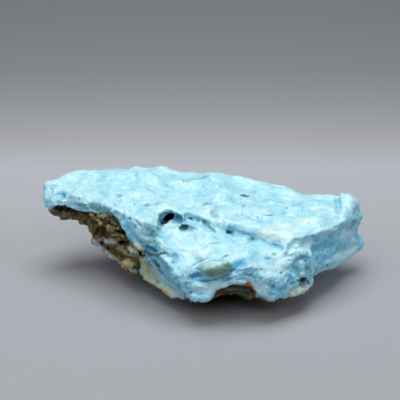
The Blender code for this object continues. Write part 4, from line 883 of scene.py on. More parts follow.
def ripple(points: np.ndarray, size: float, seed: Vector) -> np.ndarray:
    """Soft noise from -1 to 1, whose waves measure size, at each point."""
    return np.array([noise.noise(Vector(point) / size + seed) for point in points])


def cells(points: np.ndarray, size: float, seed: Vector) -> tuple[np.ndarray, np.ndarray]:
    """Which of many scattered cells each point is in.

    Args:
        points: the points.
        size: how large the cells are.
        seed: moves the pattern.

    Returns:
        The distance to the nearest cell's centre in cell sizes, and a number of that cell's own.
    """
    found = [noise.voronoi(Vector(point) / size + seed) for point in points]
    near = np.array([far[0] for far, _ in found])
    own = np.array([noise.cell(places[0] * CELL_STRIDE) for _, places in found])
    return near, own


def vertex_array(mesh: bpy.types.Mesh, kind: str) -> np.ndarray:
    """The vertices' places in millimetres (co), or their normals (normal)."""
    values = np.zeros(len(mesh.vertices) * 3, np.float32)
    if kind == "co":
        mesh.vertices.foreach_get("co", values)
        return values.reshape(-1, 3).astype(float) / MM
    mesh.vertex_normals.foreach_get("vector", values)
    return values.reshape(-1, 3).astype(float)


def edge_array(mesh: bpy.types.Mesh) -> np.ndarray:
    """The pairs of vertices that edges join, one row for each edge."""
    pairs = np.zeros(len(mesh.edges) * 2, np.int32)
    mesh.edges.foreach_get("vertices", pairs)
    return pairs.reshape(-1, 2)


def relaxed(values: np.ndarray, pairs: np.ndarray, rounds: int) -> np.ndarray:
    """Average values at the vertices with those of their neighbours.

    Args:
        values: one value or row for each vertex.
        pairs: the vertices that edges join.
        rounds: how often.

    Returns:
        The smoothed values.
    """
    count = len(values)
    both = np.concatenate((pairs, pairs[:, ::-1]))
    ties = np.bincount(both[:, 0], minlength=count)
    columns = values.reshape(count, -1).copy()
    for _ in range(rounds):
        sums = [np.bincount(both[:, 0], columns[both[:, 1], at], count) for at in range(columns.shape[1])]
        columns = (columns + np.stack(sums, 1) / ties[:, None]) / 2
    return columns.reshape(values.shape)


@dataclass(frozen=True)
class Wave:
    """Relief of one size.

    size: how long its waves are.
    depth: how far they rise and fall.
    turn: multiplies the seed, so that two waves of one size differ.
    """

    size: float
    depth: float
    turn: float = 1.0

    def soft(self, points: np.ndarray) -> np.ndarray:
        """Its height at each point as rounded swells."""
        return self.depth * ripple(points, self.size, SEED * self.turn)

    def folded(self, points: np.ndarray) -> np.ndarray:
        """Its height at each point as rounded backs with sharp furrows between them."""
        return self.depth * (np.abs(ripple(points, self.size, SEED * self.turn)) - FOLD_MEAN)


@dataclass(frozen=True)
class Pitting:
    """Round pits, at most one in each cell.

    size: the cells' size.
    depth: how deep the pits are.
    radius: how wide they are, in cell sizes.
    spared: the share of the cells that have none.
    turn: multiplies the seed.
    """

    size: float
    depth: float
    radius: float
    spared: float
    turn: float = 1.0

    def dug(self, points: np.ndarray) -> np.ndarray:
        """How deep the pits are at each point."""
        near, own = cells(points, self.size, SEED * self.turn)
        bowl = np.maximum(1.0 - (near / self.radius) ** 2, 0.0)
        return self.depth * np.where(own > self.spared, bowl, 0.0)


def ragged_share(points: np.ndarray, waves: tuple[Wave, ...]) -> np.ndarray:
    """What a distance is multiplied by at each point, so that an edge runs unevenly."""
    return sum((wave.soft(points) for wave in waves), start=1.0)


@dataclass
class Crust:
    """Where the crust ends and the matrix is bare.

    seen: the crust's lower edge from the left tip to the foot, in the photograph's pixels.
    back: the height of that edge along the back, as (X, height).
    back_starts: the Y over which that edge takes over from the seen one.
    turned_under: how far down the skin faces where the underside's matrix sets in.
    under, under_fade: the height below which it can be bare there, as (X, height), and its fade.
    edge: what makes the crust's edge uneven.
    wander, under_wander: how far that moves the edge along the back, and the one underneath.
    softness: half the width over which the crust's edge fades.
    """

    seen: tuple[tuple[float, float], ...] = (
        (20, 214), (47, 210.5), (52, 209), (59, 205), (67, 206), (76, 210), (87, 212), (94, 212),
        (102, 213), (110, 214.5), (116, 218), (121, 226), (126, 234), (129, 240), (136, 245),
        (143, 250.5), (146, 255), (142, 261), (140.5, 268), (139.5, 275), (146, 292), (160, 306),
        (190, 330),
    )
    back: tuple[tuple[float, float], ...] = (
        (-62.5, 21.5), (-57.0, 25.0), (-48.5, 26.0), (-30.5, 22.0), (-8.5, 24.0), (13.5, 18.0),
        (33.5, 17.0), (49.5, 12.0), (61.5, 7.0),
    )
    back_starts: tuple[float, float] = (10.0, 17.0)
    turned_under: tuple[float, float] = (0.45, 0.7)
    under: tuple[tuple[float, float], ...] = (
        (-62.0, 25.0), (-50.0, 26.0), (-26.0, 26.0), (-14.0, 13.0), (28.0, 12.0), (44.0, 4.0),
        (60.0, 1.0),
    )
    under_fade: float = 2.0
    edge: tuple[Wave, ...] = (Wave(2.6, 0.6), Wave(1.1, 0.4, -1.0))
    wander: float = 2.6
    under_wander: float = 0.15
    softness: float = 0.8

    def bare(self, view: Viewpoint, points: np.ndarray, normals: np.ndarray) -> np.ndarray:
        """How bare the matrix is at each point: 1 past the crust's edge and 0 on the crust.

        Args:
            view: the photograph's viewpoint.
            points: the points.
            normals: the smoothed skin's directions there.

        Returns:
            A value from 0 to 1 for each point.
        """
        ragged = sum(wave.soft(points) for wave in self.edge)
        columns, rows = view.seen(points)
        spot = np.stack((columns, -rows), 1)
        gap, hand = off_path(spot, np.array(self.seen) * (1.0, -1.0))
        front = smooth_step(-self.softness, self.softness, -gap * hand + ragged)
        edge = np.interp(points[:, 0], *zip(*self.back)) + self.wander * ragged
        behind = smooth_step(-self.softness, self.softness, edge - points[:, 2])
        share = smooth_step(*self.back_starts, points[:, 1])
        under = smooth_step(*self.turned_under, -normals[:, 2] + self.under_wander * ragged)
        below = np.interp(points[:, 0], *zip(*self.under)) - points[:, 2]
        under *= smooth_step(0.0, self.under_fade, below)
        return np.maximum((1.0 - share) * front + share * behind, under)


@dataclass(frozen=True)
class CrustRelief:
    """The crust's waxy swells, folds and creases, with chips and nicks where it is broken."""

    swell: Wave = Wave(7.0, 0.45)
    fold: Wave = Wave(4.6, 0.5, 2.0)
    fold_stretch: tuple[float, float, float] = (0.8, 1.0, 1.2)
    wrinkle: Wave = Wave(2.1, 0.16, 4.0)
    crease: Wave = Wave(1.1, 0.14, 3.0)
    chip: Wave = Wave(1.5, 0.5, 6.0)
    nick: Pitting = Pitting(1.9, 0.35, 0.4, 0.45, 5.0)

    def height(self, points: np.ndarray, bent: np.ndarray, broken: np.ndarray) -> np.ndarray:
        """How far the crust stands out at each point.

        Args:
            points: the points.
            bent: the points, shifted so that folds wind about.
            broken: how broken the crust is at each, from 0 to 1.
        """
        waxy = self.swell.soft(points) + self.fold.folded(bent * self.fold_stretch)
        waxy += self.wrinkle.folded(bent) + self.crease.folded(points)
        return waxy + broken * (self.chip.folded(bent) - self.nick.dug(points))


@dataclass(frozen=True)
class MatrixRelief:
    """The matrix's clods, lumps and grit, with the pores between them."""

    clod: Wave = Wave(3.6, 1.5, -1.0)
    lump: Wave = Wave(1.7, 0.9, -2.0)
    grit: Wave = Wave(0.8, 0.28)
    pore: Pitting = Pitting(2.6, 0.9, 0.42, 0.3)

    def height(self, points: np.ndarray, bent: np.ndarray) -> np.ndarray:
        """How far the matrix stands out at each point, where bent is shifted so that folds wind."""
        lumpy = self.clod.folded(bent) + self.lump.folded(points)
        return lumpy + self.grit.soft(points) - self.pore.dug(points)


@dataclass
class Skin:
    """The stone's skin: its grid, forms, relief and the attributes that its finishes read.

    first_grid, fine_grid, cutter_grid: the voxels before and after the holes are cut, and theirs.
    cutter_wobble, wobble_size, wobble_seed: how far the holes' walls wander, and in what waves.
    path_step, pull_reach, middle: in the photograph's pixels, as a mark's path is.
    sight_depth, foreshortening: how far behind a spot its form still counts, and how much more
        for each millimetre of its width, because most of the skin is seen at a low angle.
    outer_share, tint_fade, eased_fade: in half widths of the mark.
    foot_height, foot_fade: below the first the skin is the flat foot, above the second it is free.
    middle, most_steps: where a pixel beside the stone looks for its depth, and how far.
    rim_heights, rim_lean: from where the rim moves along the lean instead of the photograph's up.
    form_edge, tint_edge, winding: what makes the edges uneven and the folds wind about.
    mostly_bare: above this the matrix stays bare in the holes too.
    broken_slopes, steep_slopes: how far up the skin faces, from a steep side to a level one.
    _rounds: how much directions or places are smoothed before they are used.
    """

    view: Viewpoint
    crust: Crust = field(default_factory=Crust)
    crust_relief: CrustRelief = CrustRelief()
    matrix_relief: MatrixRelief = MatrixRelief()
    first_grid: float = 0.6
    first_smoothing: int = 5
    cutter_grid: float = 0.3
    cutter_wobble: float = 0.35
    wobble_size: float = 1.6
    wobble_seed: int = 6
    fine_grid: float = 0.42
    fine_smoothing: int = 1
    most_triangles: int = 192000
    path_step: float = 3.0
    sight_depth: float = 2.5
    foreshortening: float = 2.3
    outer_share: float = 1.3
    side_fade: tuple[float, float] = (-0.25, 0.35)
    foot_height: float = 0.4
    foot_fade: float = 2.0
    middle: tuple[float, float] = (205.0, 236.0)
    most_steps: int = 14
    pull_reach: float = 9.0
    rim_heights: tuple[float, float] = (25.0, 31.0)
    rim_lean: tuple[float, float, float] = (0.0, 0.9, 0.43)
    easing: int = 110
    eased_fade: tuple[float, float] = (0.5, 1.0)
    form_edge: tuple[Wave, ...] = (Wave(2.4, 0.2), Wave(1.0, 0.1, -1.0))
    tint_edge: tuple[Wave, ...] = (Wave(1.9, 0.22, -1.0), Wave(0.8, 0.14))
    tint_fade: tuple[float, float] = (0.45, 1.2)
    earth_margin: float = 1.6
    hole_margin: float = 0.3
    margin_starts: float = 0.4
    hole_mouth: tuple[float, float] = (-0.4, 1.0)
    mostly_bare: float = 0.9
    winding: tuple[Wave, ...] = (Wave(7.0, 1.6), Wave(7.0, 1.6, 2.0), Wave(7.0, 1.6, 3.0))
    broken_slopes: tuple[float, float] = (0.35, 0.8)
    steep_slopes: tuple[float, float] = (0.25, 0.8)
    shape_rounds: int = 6
    slope_rounds: int = 12
    crust_rounds: int = 25
    edge_rounds: int = 40
    near_rounds: int = 6
    far_rounds: int = 50
    small_depth: float = 0.14
    broad_depths: tuple[float, float] = (0.05, 0.8)
    dry_heights: tuple[float, float] = (0.5, 2.0)
    frost_everywhere: float = 0.12
    frost_slope: float = 0.3
    grit_kept_off_olive: float = 0.8

    def merged_copy(self) -> bpy.types.Object:
        """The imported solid's triangles joined into one closed mesh, with the plugs, as a new object."""
        shape = bmesh.new()
        shape.from_mesh(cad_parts[NODE].data)
        bmesh.ops.remove_doubles(shape, verts=shape.verts, dist=0.001 * MM)
        for plug in PLUGS:
            sized = Matrix.Diagonal((*plug.size, 1 / MM))
            place = Matrix.Translation(Vector(plug.middle) * MM) @ sized * MM
            bmesh.ops.create_icosphere(shape, subdivisions=3, radius=1.0, matrix=place)
        mesh = bpy.data.meshes.new("stone_skin")
        shape.to_mesh(mesh)
        shape.free()
        return link_object("stone_skin", mesh)

    def regridded(self, thing: bpy.types.Object, grid: float, smoothing: int) -> bpy.types.Object:
        """Rebuild an object on a voxel grid and smooth it.

        Args:
            thing: the object, which is removed.
            grid: the voxels' size.
            smoothing: the rounds of smoothing.

        Returns:
            The new object.
        """
        remesh = thing.modifiers.new("Grid", "REMESH")
        remesh.mode = "VOXEL"
        remesh.voxel_size = grid * MM
        if smoothing:
            smooth = thing.modifiers.new("Smooth", "SMOOTH")
            smooth.factor = 0.5
            smooth.iterations = smoothing
        return baked(thing)

    def sight_tree(self, thing: bpy.types.Object) -> BVHTree:
        """A tree of the object's faces that lines of sight can be cast against."""
        mesh = thing.data
        return BVHTree.FromPolygons([v.co for v in mesh.vertices], [p.vertices for p in mesh.polygons])

    def eased(self, stone: bpy.types.Object) -> None:
        """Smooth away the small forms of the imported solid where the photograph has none."""
        points = vertex_array(stone.data, "co")
        soft = relaxed(points, edge_array(stone.data), self.easing)
        tree = self.sight_tree(stone)
        share = np.zeros(len(points))
        for mark in EASED:
            near = self.nearness(mark, self.trace(tree, mark), points)
            share = np.maximum(share, mark.full * (1.0 - smooth_step(*self.eased_fade, near)))
        self.shift(stone.data, points, share[:, None] * (soft - points))

    def drawn_out(self, stone: bpy.types.Object) -> None:
        """Draw the outline to where the photograph shows it, by what the pulls say.

        The top's rim goes more backwards than up, so that the stone keeps its height.
        """
        points = vertex_array(stone.data, "co")
        spots = np.stack(self.view.seen(points), 1)
        right, up, back = self.view.axes()
        total, moves = np.zeros(len(points)), np.zeros((len(points), 2))
        for pull in PULLS:
            share = np.exp(-(np.linalg.norm(spots - pull.start, axis=1) / self.pull_reach) ** 2)
            total += share
            moves += share[:, None] * np.subtract(pull.end, pull.start)
        moves /= np.maximum(total, 1.0)[:, None]
        away = ((self.view.eye() - points) @ back) * self.view.sensor / self.view.lens / self.view.pixels
        high = smooth_step(*self.rim_heights, points[:, 2])[:, None]
        lift = (1.0 - high) * up + high * np.array(self.rim_lean) / (np.array(self.rim_lean) @ up)
        self.shift(stone.data, points, away[:, None] * (moves[:, :1] * right - moves[:, 1:] * lift))

    def hit(self, tree: BVHTree, pixel: tuple[float, float]) -> Vector:
        """Where a pixel of the photograph falls on the skin.

        A pixel beside the stone gets the distance of the nearest one inwards that meets it.

        Args:
            tree: what the line of sight is cast against.
            pixel: the column and row.

        Returns:
            The place.
        """
        origin = Vector(self.view.eye()) * MM
        inward = np.subtract(self.middle, pixel)
        inward = inward / np.hypot(*inward)
        for step in range(self.most_steps):
            column, row = np.array(pixel) + inward * step
            far = tree.ray_cast(origin, Vector(self.view.sight(column, row)).normalized())[3]
            if far is not None:
                return (origin + Vector(self.view.sight(*pixel)).normalized() * far) / MM
        raise ValueError(f"pixel {pixel} misses the stone")

    def hole_places(self, tree: BVHTree) -> dict[str, Matrix]:
        """Where each hole's unit ball goes.

        Args:
            tree: what the holes' pixels are cast against.

        Returns:
            A matrix in millimetres for each hole's name.
        """
        right, up, back = (Vector(axis) for axis in self.view.axes())
        seen = Matrix((right, up, back)).transposed()
        places = {}
        for name, hole in HOLES.items():
            lean = Euler((math.radians(-hole.rise), 0.0, math.radians(hole.turn))).to_matrix()
            sized = Matrix.Diagonal((*hole.across, hole.reach, 1.0))
            middle = Matrix.Translation(self.hit(tree, hole.at) - back * hole.sunk)
            places[name] = middle @ (seen @ lean).to_4x4() @ sized
        return places

    def cutters(self, places: dict[str, Matrix]) -> bpy.types.Object:
        """Make every hole as one closed, slightly uneven cutter.

        Args:
            places: where the holes' unit balls go.

        Returns:
            The cutter.
        """
        noise.seed_set(self.wobble_seed)
        shape = bmesh.new()
        for place in places.values():
            made = bmesh.ops.create_icosphere(shape, subdivisions=4, radius=1.0, matrix=place)
            for vertex in made["verts"]:
                wobble = noise.noise_vector(vertex.co / self.wobble_size + SEED)
                vertex.co = (vertex.co + wobble * self.cutter_wobble) * MM
        mesh = bpy.data.meshes.new("hole_cutters")
        shape.to_mesh(mesh)
        shape.free()
        return self.regridded(link_object("hole_cutters", mesh), self.cutter_grid, 0)

    def opened(self, stone: bpy.types.Object, cutter: bpy.types.Object) -> bpy.types.Object:
        """Take the cutter out of the stone.

        Args:
            stone: the skin, which is removed.
            cutter: the cutter, which is removed.

        Returns:
            The opened skin.
        """
        cut = stone.modifiers.new("Open", "BOOLEAN")
        cut.operation = "DIFFERENCE"
        cut.solver = "MANIFOLD"
        cut.object = cutter
        done = baked(stone)
        bpy.data.objects.remove(cutter, do_unlink=True)
        return done

    def trace(self, tree: BVHTree, mark: Mark) -> np.ndarray:
        """The points on the skin that a mark's path runs through.

        Args:
            tree: what the path's pixels are cast against.
            mark: the mark.

        Returns:
            One row for each point.
        """
        pixels = [np.array(mark.path[0])]
        for start, end in zip(mark.path, mark.path[1:]):
            gap = np.subtract(end, start)
            steps = max(1, math.ceil(float(np.hypot(*gap)) / self.path_step))
            pixels += [np.array(start) + gap * step / steps for step in range(1, steps + 1)]
        return np.array([self.hit(tree, tuple(pixel)) for pixel in pixels])

    def spot_nearness(self, mark: Mark, spot: np.ndarray, depth: float) -> np.ndarray:
        """How far points are from the middle of a mark of one pixel, as a share of its half width.

        Args:
            mark: the mark.
            spot: the points, measured from its middle.
            depth: how far in front of it or behind it a point still counts.

        Returns:
            0 in the middle, 1 on the mark's edge and more outside it.
        """
        turn = math.radians(mark.turn)
        across, above, deep = (spot @ axis for axis in self.view.axes())
        first = (across * math.cos(turn) + above * math.sin(turn)) / mark.across[0]
        second = (above * math.cos(turn) - across * math.sin(turn)) / mark.across[1]
        third = np.maximum(np.abs(deep) - depth, 0.0)
        return np.sqrt(first**2 + second**2 + third**2)

    def path_nearness(self, mark: Mark, line: np.ndarray, spot: np.ndarray) -> np.ndarray:
        """How far points are from a mark's path, as a share of its half width.

        Args:
            mark: the mark.
            line: the points on the skin that its path runs through.
            spot: the points.

        Returns:
            0 on the path, 1 on the mark's edge and more outside it.
        """
        right, up, _ = self.view.axes()
        best = np.full(len(spot), np.inf)
        hand = np.zeros(len(spot))
        for start, end in zip(line, line[1:]):
            run = end - start
            share = np.clip((spot - start) @ run / max(run @ run, 1e-9), 0.0, 1.0)
            gap = spot - start - share[:, None] * run
            there = np.einsum("ij,ij->i", gap, gap)
            nearer = there < best
            best = np.where(nearer, there, best)
            cross = (run @ right) * ((spot - start) @ up) - (run @ up) * ((spot - start) @ right)
            hand = np.where(nearer, cross / math.hypot(run @ right, run @ up), hand)
        near = np.sqrt(best) / mark.across[0]
        if mark.side:
            kept = smooth_step(*self.side_fade, hand * mark.side)
            near = 1.0 - (1.0 - np.minimum(near, 1.0)) * kept
        return near

    def nearness(self, mark: Mark, line: np.ndarray, points: np.ndarray) -> np.ndarray:
        """How far each point is from a mark's middle, as a share of its half width.

        Args:
            mark: the mark.
            line: the points on the skin that its path runs through.
            points: the vertices.

        Returns:
            0 in the middle, 1 on the mark's edge and more outside it.
        """
        far = np.full(len(points), OUT_OF_REACH)
        depth = self.sight_depth + self.foreshortening * max(mark.across)
        if len(line) > 1:
            reach = self.outer_share * mark.across[0]
        else:
            reach = self.outer_share * max(mark.across) + depth
        low, high = line.min(0) - reach, line.max(0) + reach
        close = np.flatnonzero(np.all((points > low) & (points < high), axis=1))
        if len(close) and len(line) == 1:
            far[close] = self.spot_nearness(mark, points[close] - line[0], depth)
        elif len(close):
            far[close] = self.path_nearness(mark, line, points[close])
        return far

    def carve(self, stone: bpy.types.Object, tree: BVHTree, marks: dict[str, Mark]) -> None:
        """Sink and raise the skin where the marks say.

        Args:
            stone: the skin.
            tree: what the marks' pixels are cast against.
            marks: the marks.
        """
        mesh = stone.data
        points = vertex_array(mesh, "co")
        away = self.smooth_normals(mesh, self.shape_rounds)
        ragged = ragged_share(points, self.form_edge)
        height = np.zeros(len(points))
        for mark in marks.values():
            if mark.lift:
                near = np.clip(self.nearness(mark, self.trace(tree, mark), points) * ragged, 0.0, 1.0)
                height += mark.lift * (1.0 - near**mark.edge) ** 2
        self.shift(mesh, points, away * height[:, None])

    def shift(self, mesh: bpy.types.Mesh, points: np.ndarray, moves: np.ndarray) -> None:
        """Move the vertices, but keep the foot flat on the floor.

        Args:
            mesh: the skin's mesh.
            points: where its vertices are.
            moves: how far each would go.
        """
        hold = smooth_step(self.foot_height, self.foot_fade, points[:, 2])
        moved = points + moves * hold[:, None]
        moved[:, 2] = np.where(moved[:, 2] < self.foot_height, 0.0, moved[:, 2])
        mesh.vertices.foreach_set("co", (moved * MM).astype(np.float32).ravel())
        mesh.update()

    def smooth_normals(self, mesh: bpy.types.Mesh, rounds: int) -> np.ndarray:
        """The directions of the skin without its small relief."""
        normals = relaxed(vertex_array(mesh, "normal"), edge_array(mesh), rounds)
        return normals / np.linalg.norm(normals, axis=1)[:, None]

    def relief(self, stone: bpy.types.Object) -> None:
        """Give the crust and the matrix their own relief."""
        mesh = stone.data
        points, normals = vertex_array(mesh, "co"), vertex_array(mesh, "normal")
        bare = self.crust.bare(self.view, points, self.smooth_normals(mesh, self.crust_rounds))
        bent = points + np.stack([wave.soft(points) for wave in self.winding], 1)
        slope = self.smooth_normals(mesh, self.slope_rounds)[:, 2]
        broken = 1.0 - smooth_step(*self.broken_slopes, slope)
        crusty = self.crust_relief.height(points, bent, broken)
        rocky = self.matrix_relief.height(points, bent)
        self.shift(mesh, points, normals * ((1.0 - bare) * crusty + bare * rocky)[:, None])

    def thinned(self, stone: bpy.types.Object) -> bpy.types.Object:
        """Bring the stone down to most_triangles triangles where it has more.

        Args:
            stone: the skin, which is removed if it has more.

        Returns:
            The skin.
        """
        mesh = stone.data
        mesh.calc_loop_triangles()
        share = self.most_triangles / len(mesh.loop_triangles)
        if share < 1.0:
            thin = stone.modifiers.new("Thin", "DECIMATE")
            thin.ratio = share
            thin.use_collapse_triangulate = True
            return baked(stone)
        return stone

    def note(self, mesh: bpy.types.Mesh, name: str, values: np.ndarray) -> None:
        """Keep a value from 0 to 1 at each vertex under this name."""
        layer = mesh.attributes.new(name, "FLOAT", "POINT")
        layer.data.foreach_set("value", np.clip(values, 0.0, 1.0).astype(np.float32))

    def inside(self, hole: Hole, place: Matrix, points: np.ndarray) -> np.ndarray:
        """How far inside a hole each point lies, with a soft edge at its wall and its mouth.

        Args:
            hole: the hole.
            place: where its unit ball went.
            points: the points.

        Returns:
            A value from 0 to 1 for each point.
        """
        back = place.inverted()
        local = points @ np.array(back.to_3x3()).T + np.array(back.translation)
        ball = np.linalg.norm(local, axis=1)
        away = np.linalg.norm(points - np.array(place.translation), axis=1)
        off = away * (1.0 - 1.0 / np.maximum(ball, 0.1))
        margin = self.earth_margin if hole.tint == Tint.EARTH else self.hole_margin
        deep = smooth_step(*self.hole_mouth, -local[:, 2] * hole.reach + hole.sunk)
        return (1.0 - smooth_step(self.margin_starts * margin, margin, off)) * deep

    def paint_tints(self, stone: bpy.types.Object, tree: BVHTree, places: dict[str, Matrix]) -> None:
        """Write the tints' attributes, with real stains, painted shade and painted light among them, and
        those that say where matrix, frost and grit are.

        Args:
            stone: the finished skin.
            tree: the skin that the marks were placed on.
            places: where the holes' unit balls went.
        """
        mesh = stone.data
        points = vertex_array(mesh, "co")
        ragged = ragged_share(points, self.tint_edge)
        tints_and_shade = {tint: np.zeros(len(points)) for tint in Tint}
        opened = np.zeros(len(points))
        for mark in MARKS.values():
            if mark.tint:
                near = self.nearness(mark, self.trace(tree, mark), points) * ragged
                full = mark.full * (1.0 - smooth_step(*self.tint_fade, near))
                tints_and_shade[mark.tint] = np.maximum(tints_and_shade[mark.tint], full)
        for name, place in places.items():
            hole = HOLES[name]
            inside = self.inside(hole, place, points)
            tints_and_shade[hole.tint] = np.maximum(tints_and_shade[hole.tint], hole.full * inside)
            opened = np.maximum(opened, inside * (hole.tint != Tint.EARTH))
        for tint, values in tints_and_shade.items():
            self.note(mesh, tint.value, values)
        front = self.crust.bare(self.view, points, self.smooth_normals(mesh, self.edge_rounds))
        closed = 1.0 - opened * (front < self.mostly_bare)
        bare = np.maximum(front * closed, tints_and_shade[Tint.EARTH])
        dry = smooth_step(*self.dry_heights, points[:, 2])
        level = self.smooth_normals(mesh, self.slope_rounds)[:, 2] > self.frost_slope
        self.note(mesh, "bare_matrix", bare)
        self.note(mesh, "frosted", (1.0 - bare) * dry * (self.frost_everywhere + tints_and_shade[Tint.WHITE]) * level)
        self.note(mesh, "gritty", bare * dry * (1.0 - self.grit_kept_off_olive * tints_and_shade[Tint.OLIVE]))

    def shaded(self, stone: bpy.types.Object) -> None:
        """Write the attributes that say where the skin is hollow, proud or steep, from which the finishes
        paint shade into hollows and onto steep sides, and highlights onto proud points.
        """
        mesh = stone.data
        points, normals = vertex_array(mesh, "co"), vertex_array(mesh, "normal")
        pairs = edge_array(mesh)
        small, broad = (relaxed(points, pairs, rounds) for rounds in (self.near_rounds, self.far_rounds))
        dip = np.einsum("ij,ij->i", small - points, normals)
        bowl = np.einsum("ij,ij->i", broad - points, normals)
        slope = self.smooth_normals(mesh, self.slope_rounds)[:, 2]
        self.note(mesh, "small_hollow", smooth_step(0.0, self.small_depth, dip))
        self.note(mesh, "small_proud", smooth_step(0.0, self.small_depth, -dip))
        self.note(mesh, "broad_hollow", smooth_step(*self.broad_depths, bowl))
        self.note(mesh, "steep_side", 1.0 - smooth_step(*self.steep_slopes, slope))

    def build(self) -> bpy.types.Object:
        """Make the skin with its attributes and return it."""
        soft = self.regridded(self.merged_copy(), self.first_grid, self.first_smoothing)
        self.eased(soft)
        self.drawn_out(soft)
        self.carve(soft, self.sight_tree(soft), FORMS)
        whole = self.sight_tree(soft)
        places = self.hole_places(whole)
        opened = self.opened(soft, self.cutters(places))
        fine = self.regridded(opened, self.fine_grid, self.fine_smoothing)
        self.carve(fine, whole, MARKS)
        self.relief(fine)
        stone = self.thinned(fine)
        self.paint_tints(stone, whole, places)
        self.shaded(stone)
        stone.data.shade_smooth()
        return stone


@dataclass(frozen=True)
class Layer:
    """One colour that is laid over those before it, where its source is strong.

    source: a point attribute's name, or the size of a pattern of its own.
    colour: what it lays down.
    low, high: the source's values where it starts and where it is complete.
    most: its greatest share.
    twist: how drawn-out the pattern is.
    """

    source: str | float
    colour: str
    low: float = 0.0
    high: float = 1.0
    most: float = 1.0
    twist: float = 0.6


@dataclass(frozen=True)
class Grain:
    """Fine relief of one size, and how much it counts."""

    size: float
    share: float


def coloured(
    tree: bpy.types.NodeTree, place: bpy.types.NodeSocket, base: str, layers: tuple[Layer, ...]
) -> bpy.types.NodeSocket:
    """Lay colours over a base, one after the other.

    Args:
        tree: the material's tree.
        place: the object's coordinates.
        base: the colour below.
        layers: what goes over it.

    Returns:
        The colour.
    """
    colour = linear(base)
    for layer in layers:
        if isinstance(layer.source, str):
            source = add_node(tree, "ShaderNodeAttribute", attribute_name=layer.source).outputs["Fac"]
        else:
            pattern = {
                "Vector": place, "Scale": per(layer.source), "Detail": PATTERN_DETAIL,
                "Distortion": layer.twist,
            }
            source = add_node(tree, "ShaderNodeTexNoise", pattern).outputs["Fac"]
        reach = {"Value": source, "From Min": layer.low, "From Max": layer.high, "To Max": layer.most}
        share = add_node(tree, "ShaderNodeMapRange", reach).outputs["Result"]
        both = {MIX_FACTOR: share, MIX_FIRST: colour, MIX_SECOND: linear(layer.colour)}
        colour = add_node(tree, "ShaderNodeMix", both, data_type="RGBA").outputs[MIX_RESULT]
    return colour


def grained(
    tree: bpy.types.NodeTree, place: bpy.types.NodeSocket, grains: tuple[Grain, ...], depth: float
) -> bpy.types.NodeSocket:
    """Fine relief from a few sizes of noise.

    Args:
        tree: the material's tree.
        place: the object's coordinates.
        grains: the sizes and their shares.
        depth: how deep it is, in millimetres.

    Returns:
        The bumped normal.
    """
    height = 0.0
    for grain in grains:
        pattern = {
            "Vector": place, "Scale": per(grain.size), "Detail": PATTERN_DETAIL, "Distortion": GRAIN_TWIST,
        }
        wave = add_node(tree, "ShaderNodeTexNoise", pattern).outputs["Fac"]
        summed = {0: wave, 1: grain.share, 2: height}
        height = add_node(tree, "ShaderNodeMath", summed, operation="MULTIPLY_ADD").outputs[0]
    relief = {"Strength": 1.0, "Distance": depth * MM, "Height": height}
    return add_node(tree, "ShaderNodeBump", relief).outputs["Normal"]


@dataclass(frozen=True)
class StoneFinish:
    """A finish of the stone: its colours, its fine relief and its gloss.

    base, layers: the colour below and what is laid over it.
    grains, depth: the sizes of the fine relief, and how deep it is.
    roughness, ior, specular_level: its gloss.
    """

    name: str
    base: str
    layers: tuple[Layer, ...]
    grains: tuple[Grain, ...]
    depth: float
    roughness: float
    ior: float
    specular_level: float

    def material(self) -> bpy.types.Material:
        """The finish as a material."""
        material = bpy.data.materials.new(self.name)
        material.use_nodes = True
        tree = material.node_tree
        shader = tree.nodes["Principled BSDF"]
        place = add_node(tree, "ShaderNodeTexCoord").outputs["Object"]
        tree.links.new(coloured(tree, place, self.base, self.layers), shader.inputs["Base Color"])
        tree.links.new(grained(tree, place, self.grains, self.depth), shader.inputs["Normal"])
        shader.inputs["Roughness"].default_value = self.roughness
        shader.inputs["IOR"].default_value = self.ior
        shader.inputs["Specular IOR Level"].default_value = self.specular_level
        return material


# Waxy blue aragonite: milky pale blue where frost lies, made bluer and darker by painted shade in hollows
# and on steep sides, and paler by painted highlight on proud points.
CRUST_FINISH = StoneFinish(
    name="waxy_blue_aragonite",
    base="#9bd2e1",
    layers=(
        Layer(15.0, "#b3e0e9", 0.45, 0.62, 0.8),
        Layer(6.5, "#97d6e7", 0.5, 0.62, 0.7, 1.2),
        Layer(9.0, "#b3dfda", 0.54, 0.7, 0.5),
        Layer(3.4, "#c6e8ee", 0.5, 0.66, 0.5, 1.5),
        Layer(1.6, "#8accdd", 0.54, 0.7, 0.3, 1.0),
        # Steep sides turn bluer, partly the crust's own deeper blue and partly painted shade; hollows get
        # painted shade; proud points get painted highlight.
        Layer("steep_side", "#79cdee", most=0.85),
        Layer("broad_hollow", "#66bcd4", most=0.4),
        Layer("small_hollow", "#4c9fb8", 0.15, 1.1, 0.5),
        Layer("small_proud", "#d8f1f5", 0.1, 1.0, 0.35),
        Layer(Tint.CREAM.value, "#cde6de"),
        Layer(Tint.WHITE.value, "#d6eef1"),
        Layer(Tint.SKY.value, "#7cc3dc"),
        Layer(Tint.BLUE.value, "#3d9cc9"),
        # Dark teal: partly the crust's own teal-green, partly painted shade in pits and creases.
        Layer(Tint.TEAL.value, "#17606c"),
        # A paler blue on some sides: painted light.
        Layer(Tint.LIT_PALE.value, "#bdeefc"),
        Layer(Tint.CYAN.value, "#52c0ea"),
        Layer(Tint.GLASS.value, "#5f8878"),
        Layer(Tint.OLIVE.value, "#c3caa6"),
        Layer(Tint.TAN.value, "#d2c794"),
        Layer(Tint.VEIN.value, "#c4dcd8"),
        Layer(Tint.RUST.value, "#94481f"),
        # Near black: painted shade in holes, pockets and cracks.
        Layer(Tint.POCKET_SHADE.value, "#06222a"),
    ),
    grains=(Grain(2.2, 0.7), Grain(0.9, 0.4), Grain(0.4, 0.15)),
    depth=0.38,
    roughness=0.4,
    ior=1.6,
    specular_level=0.45,
)

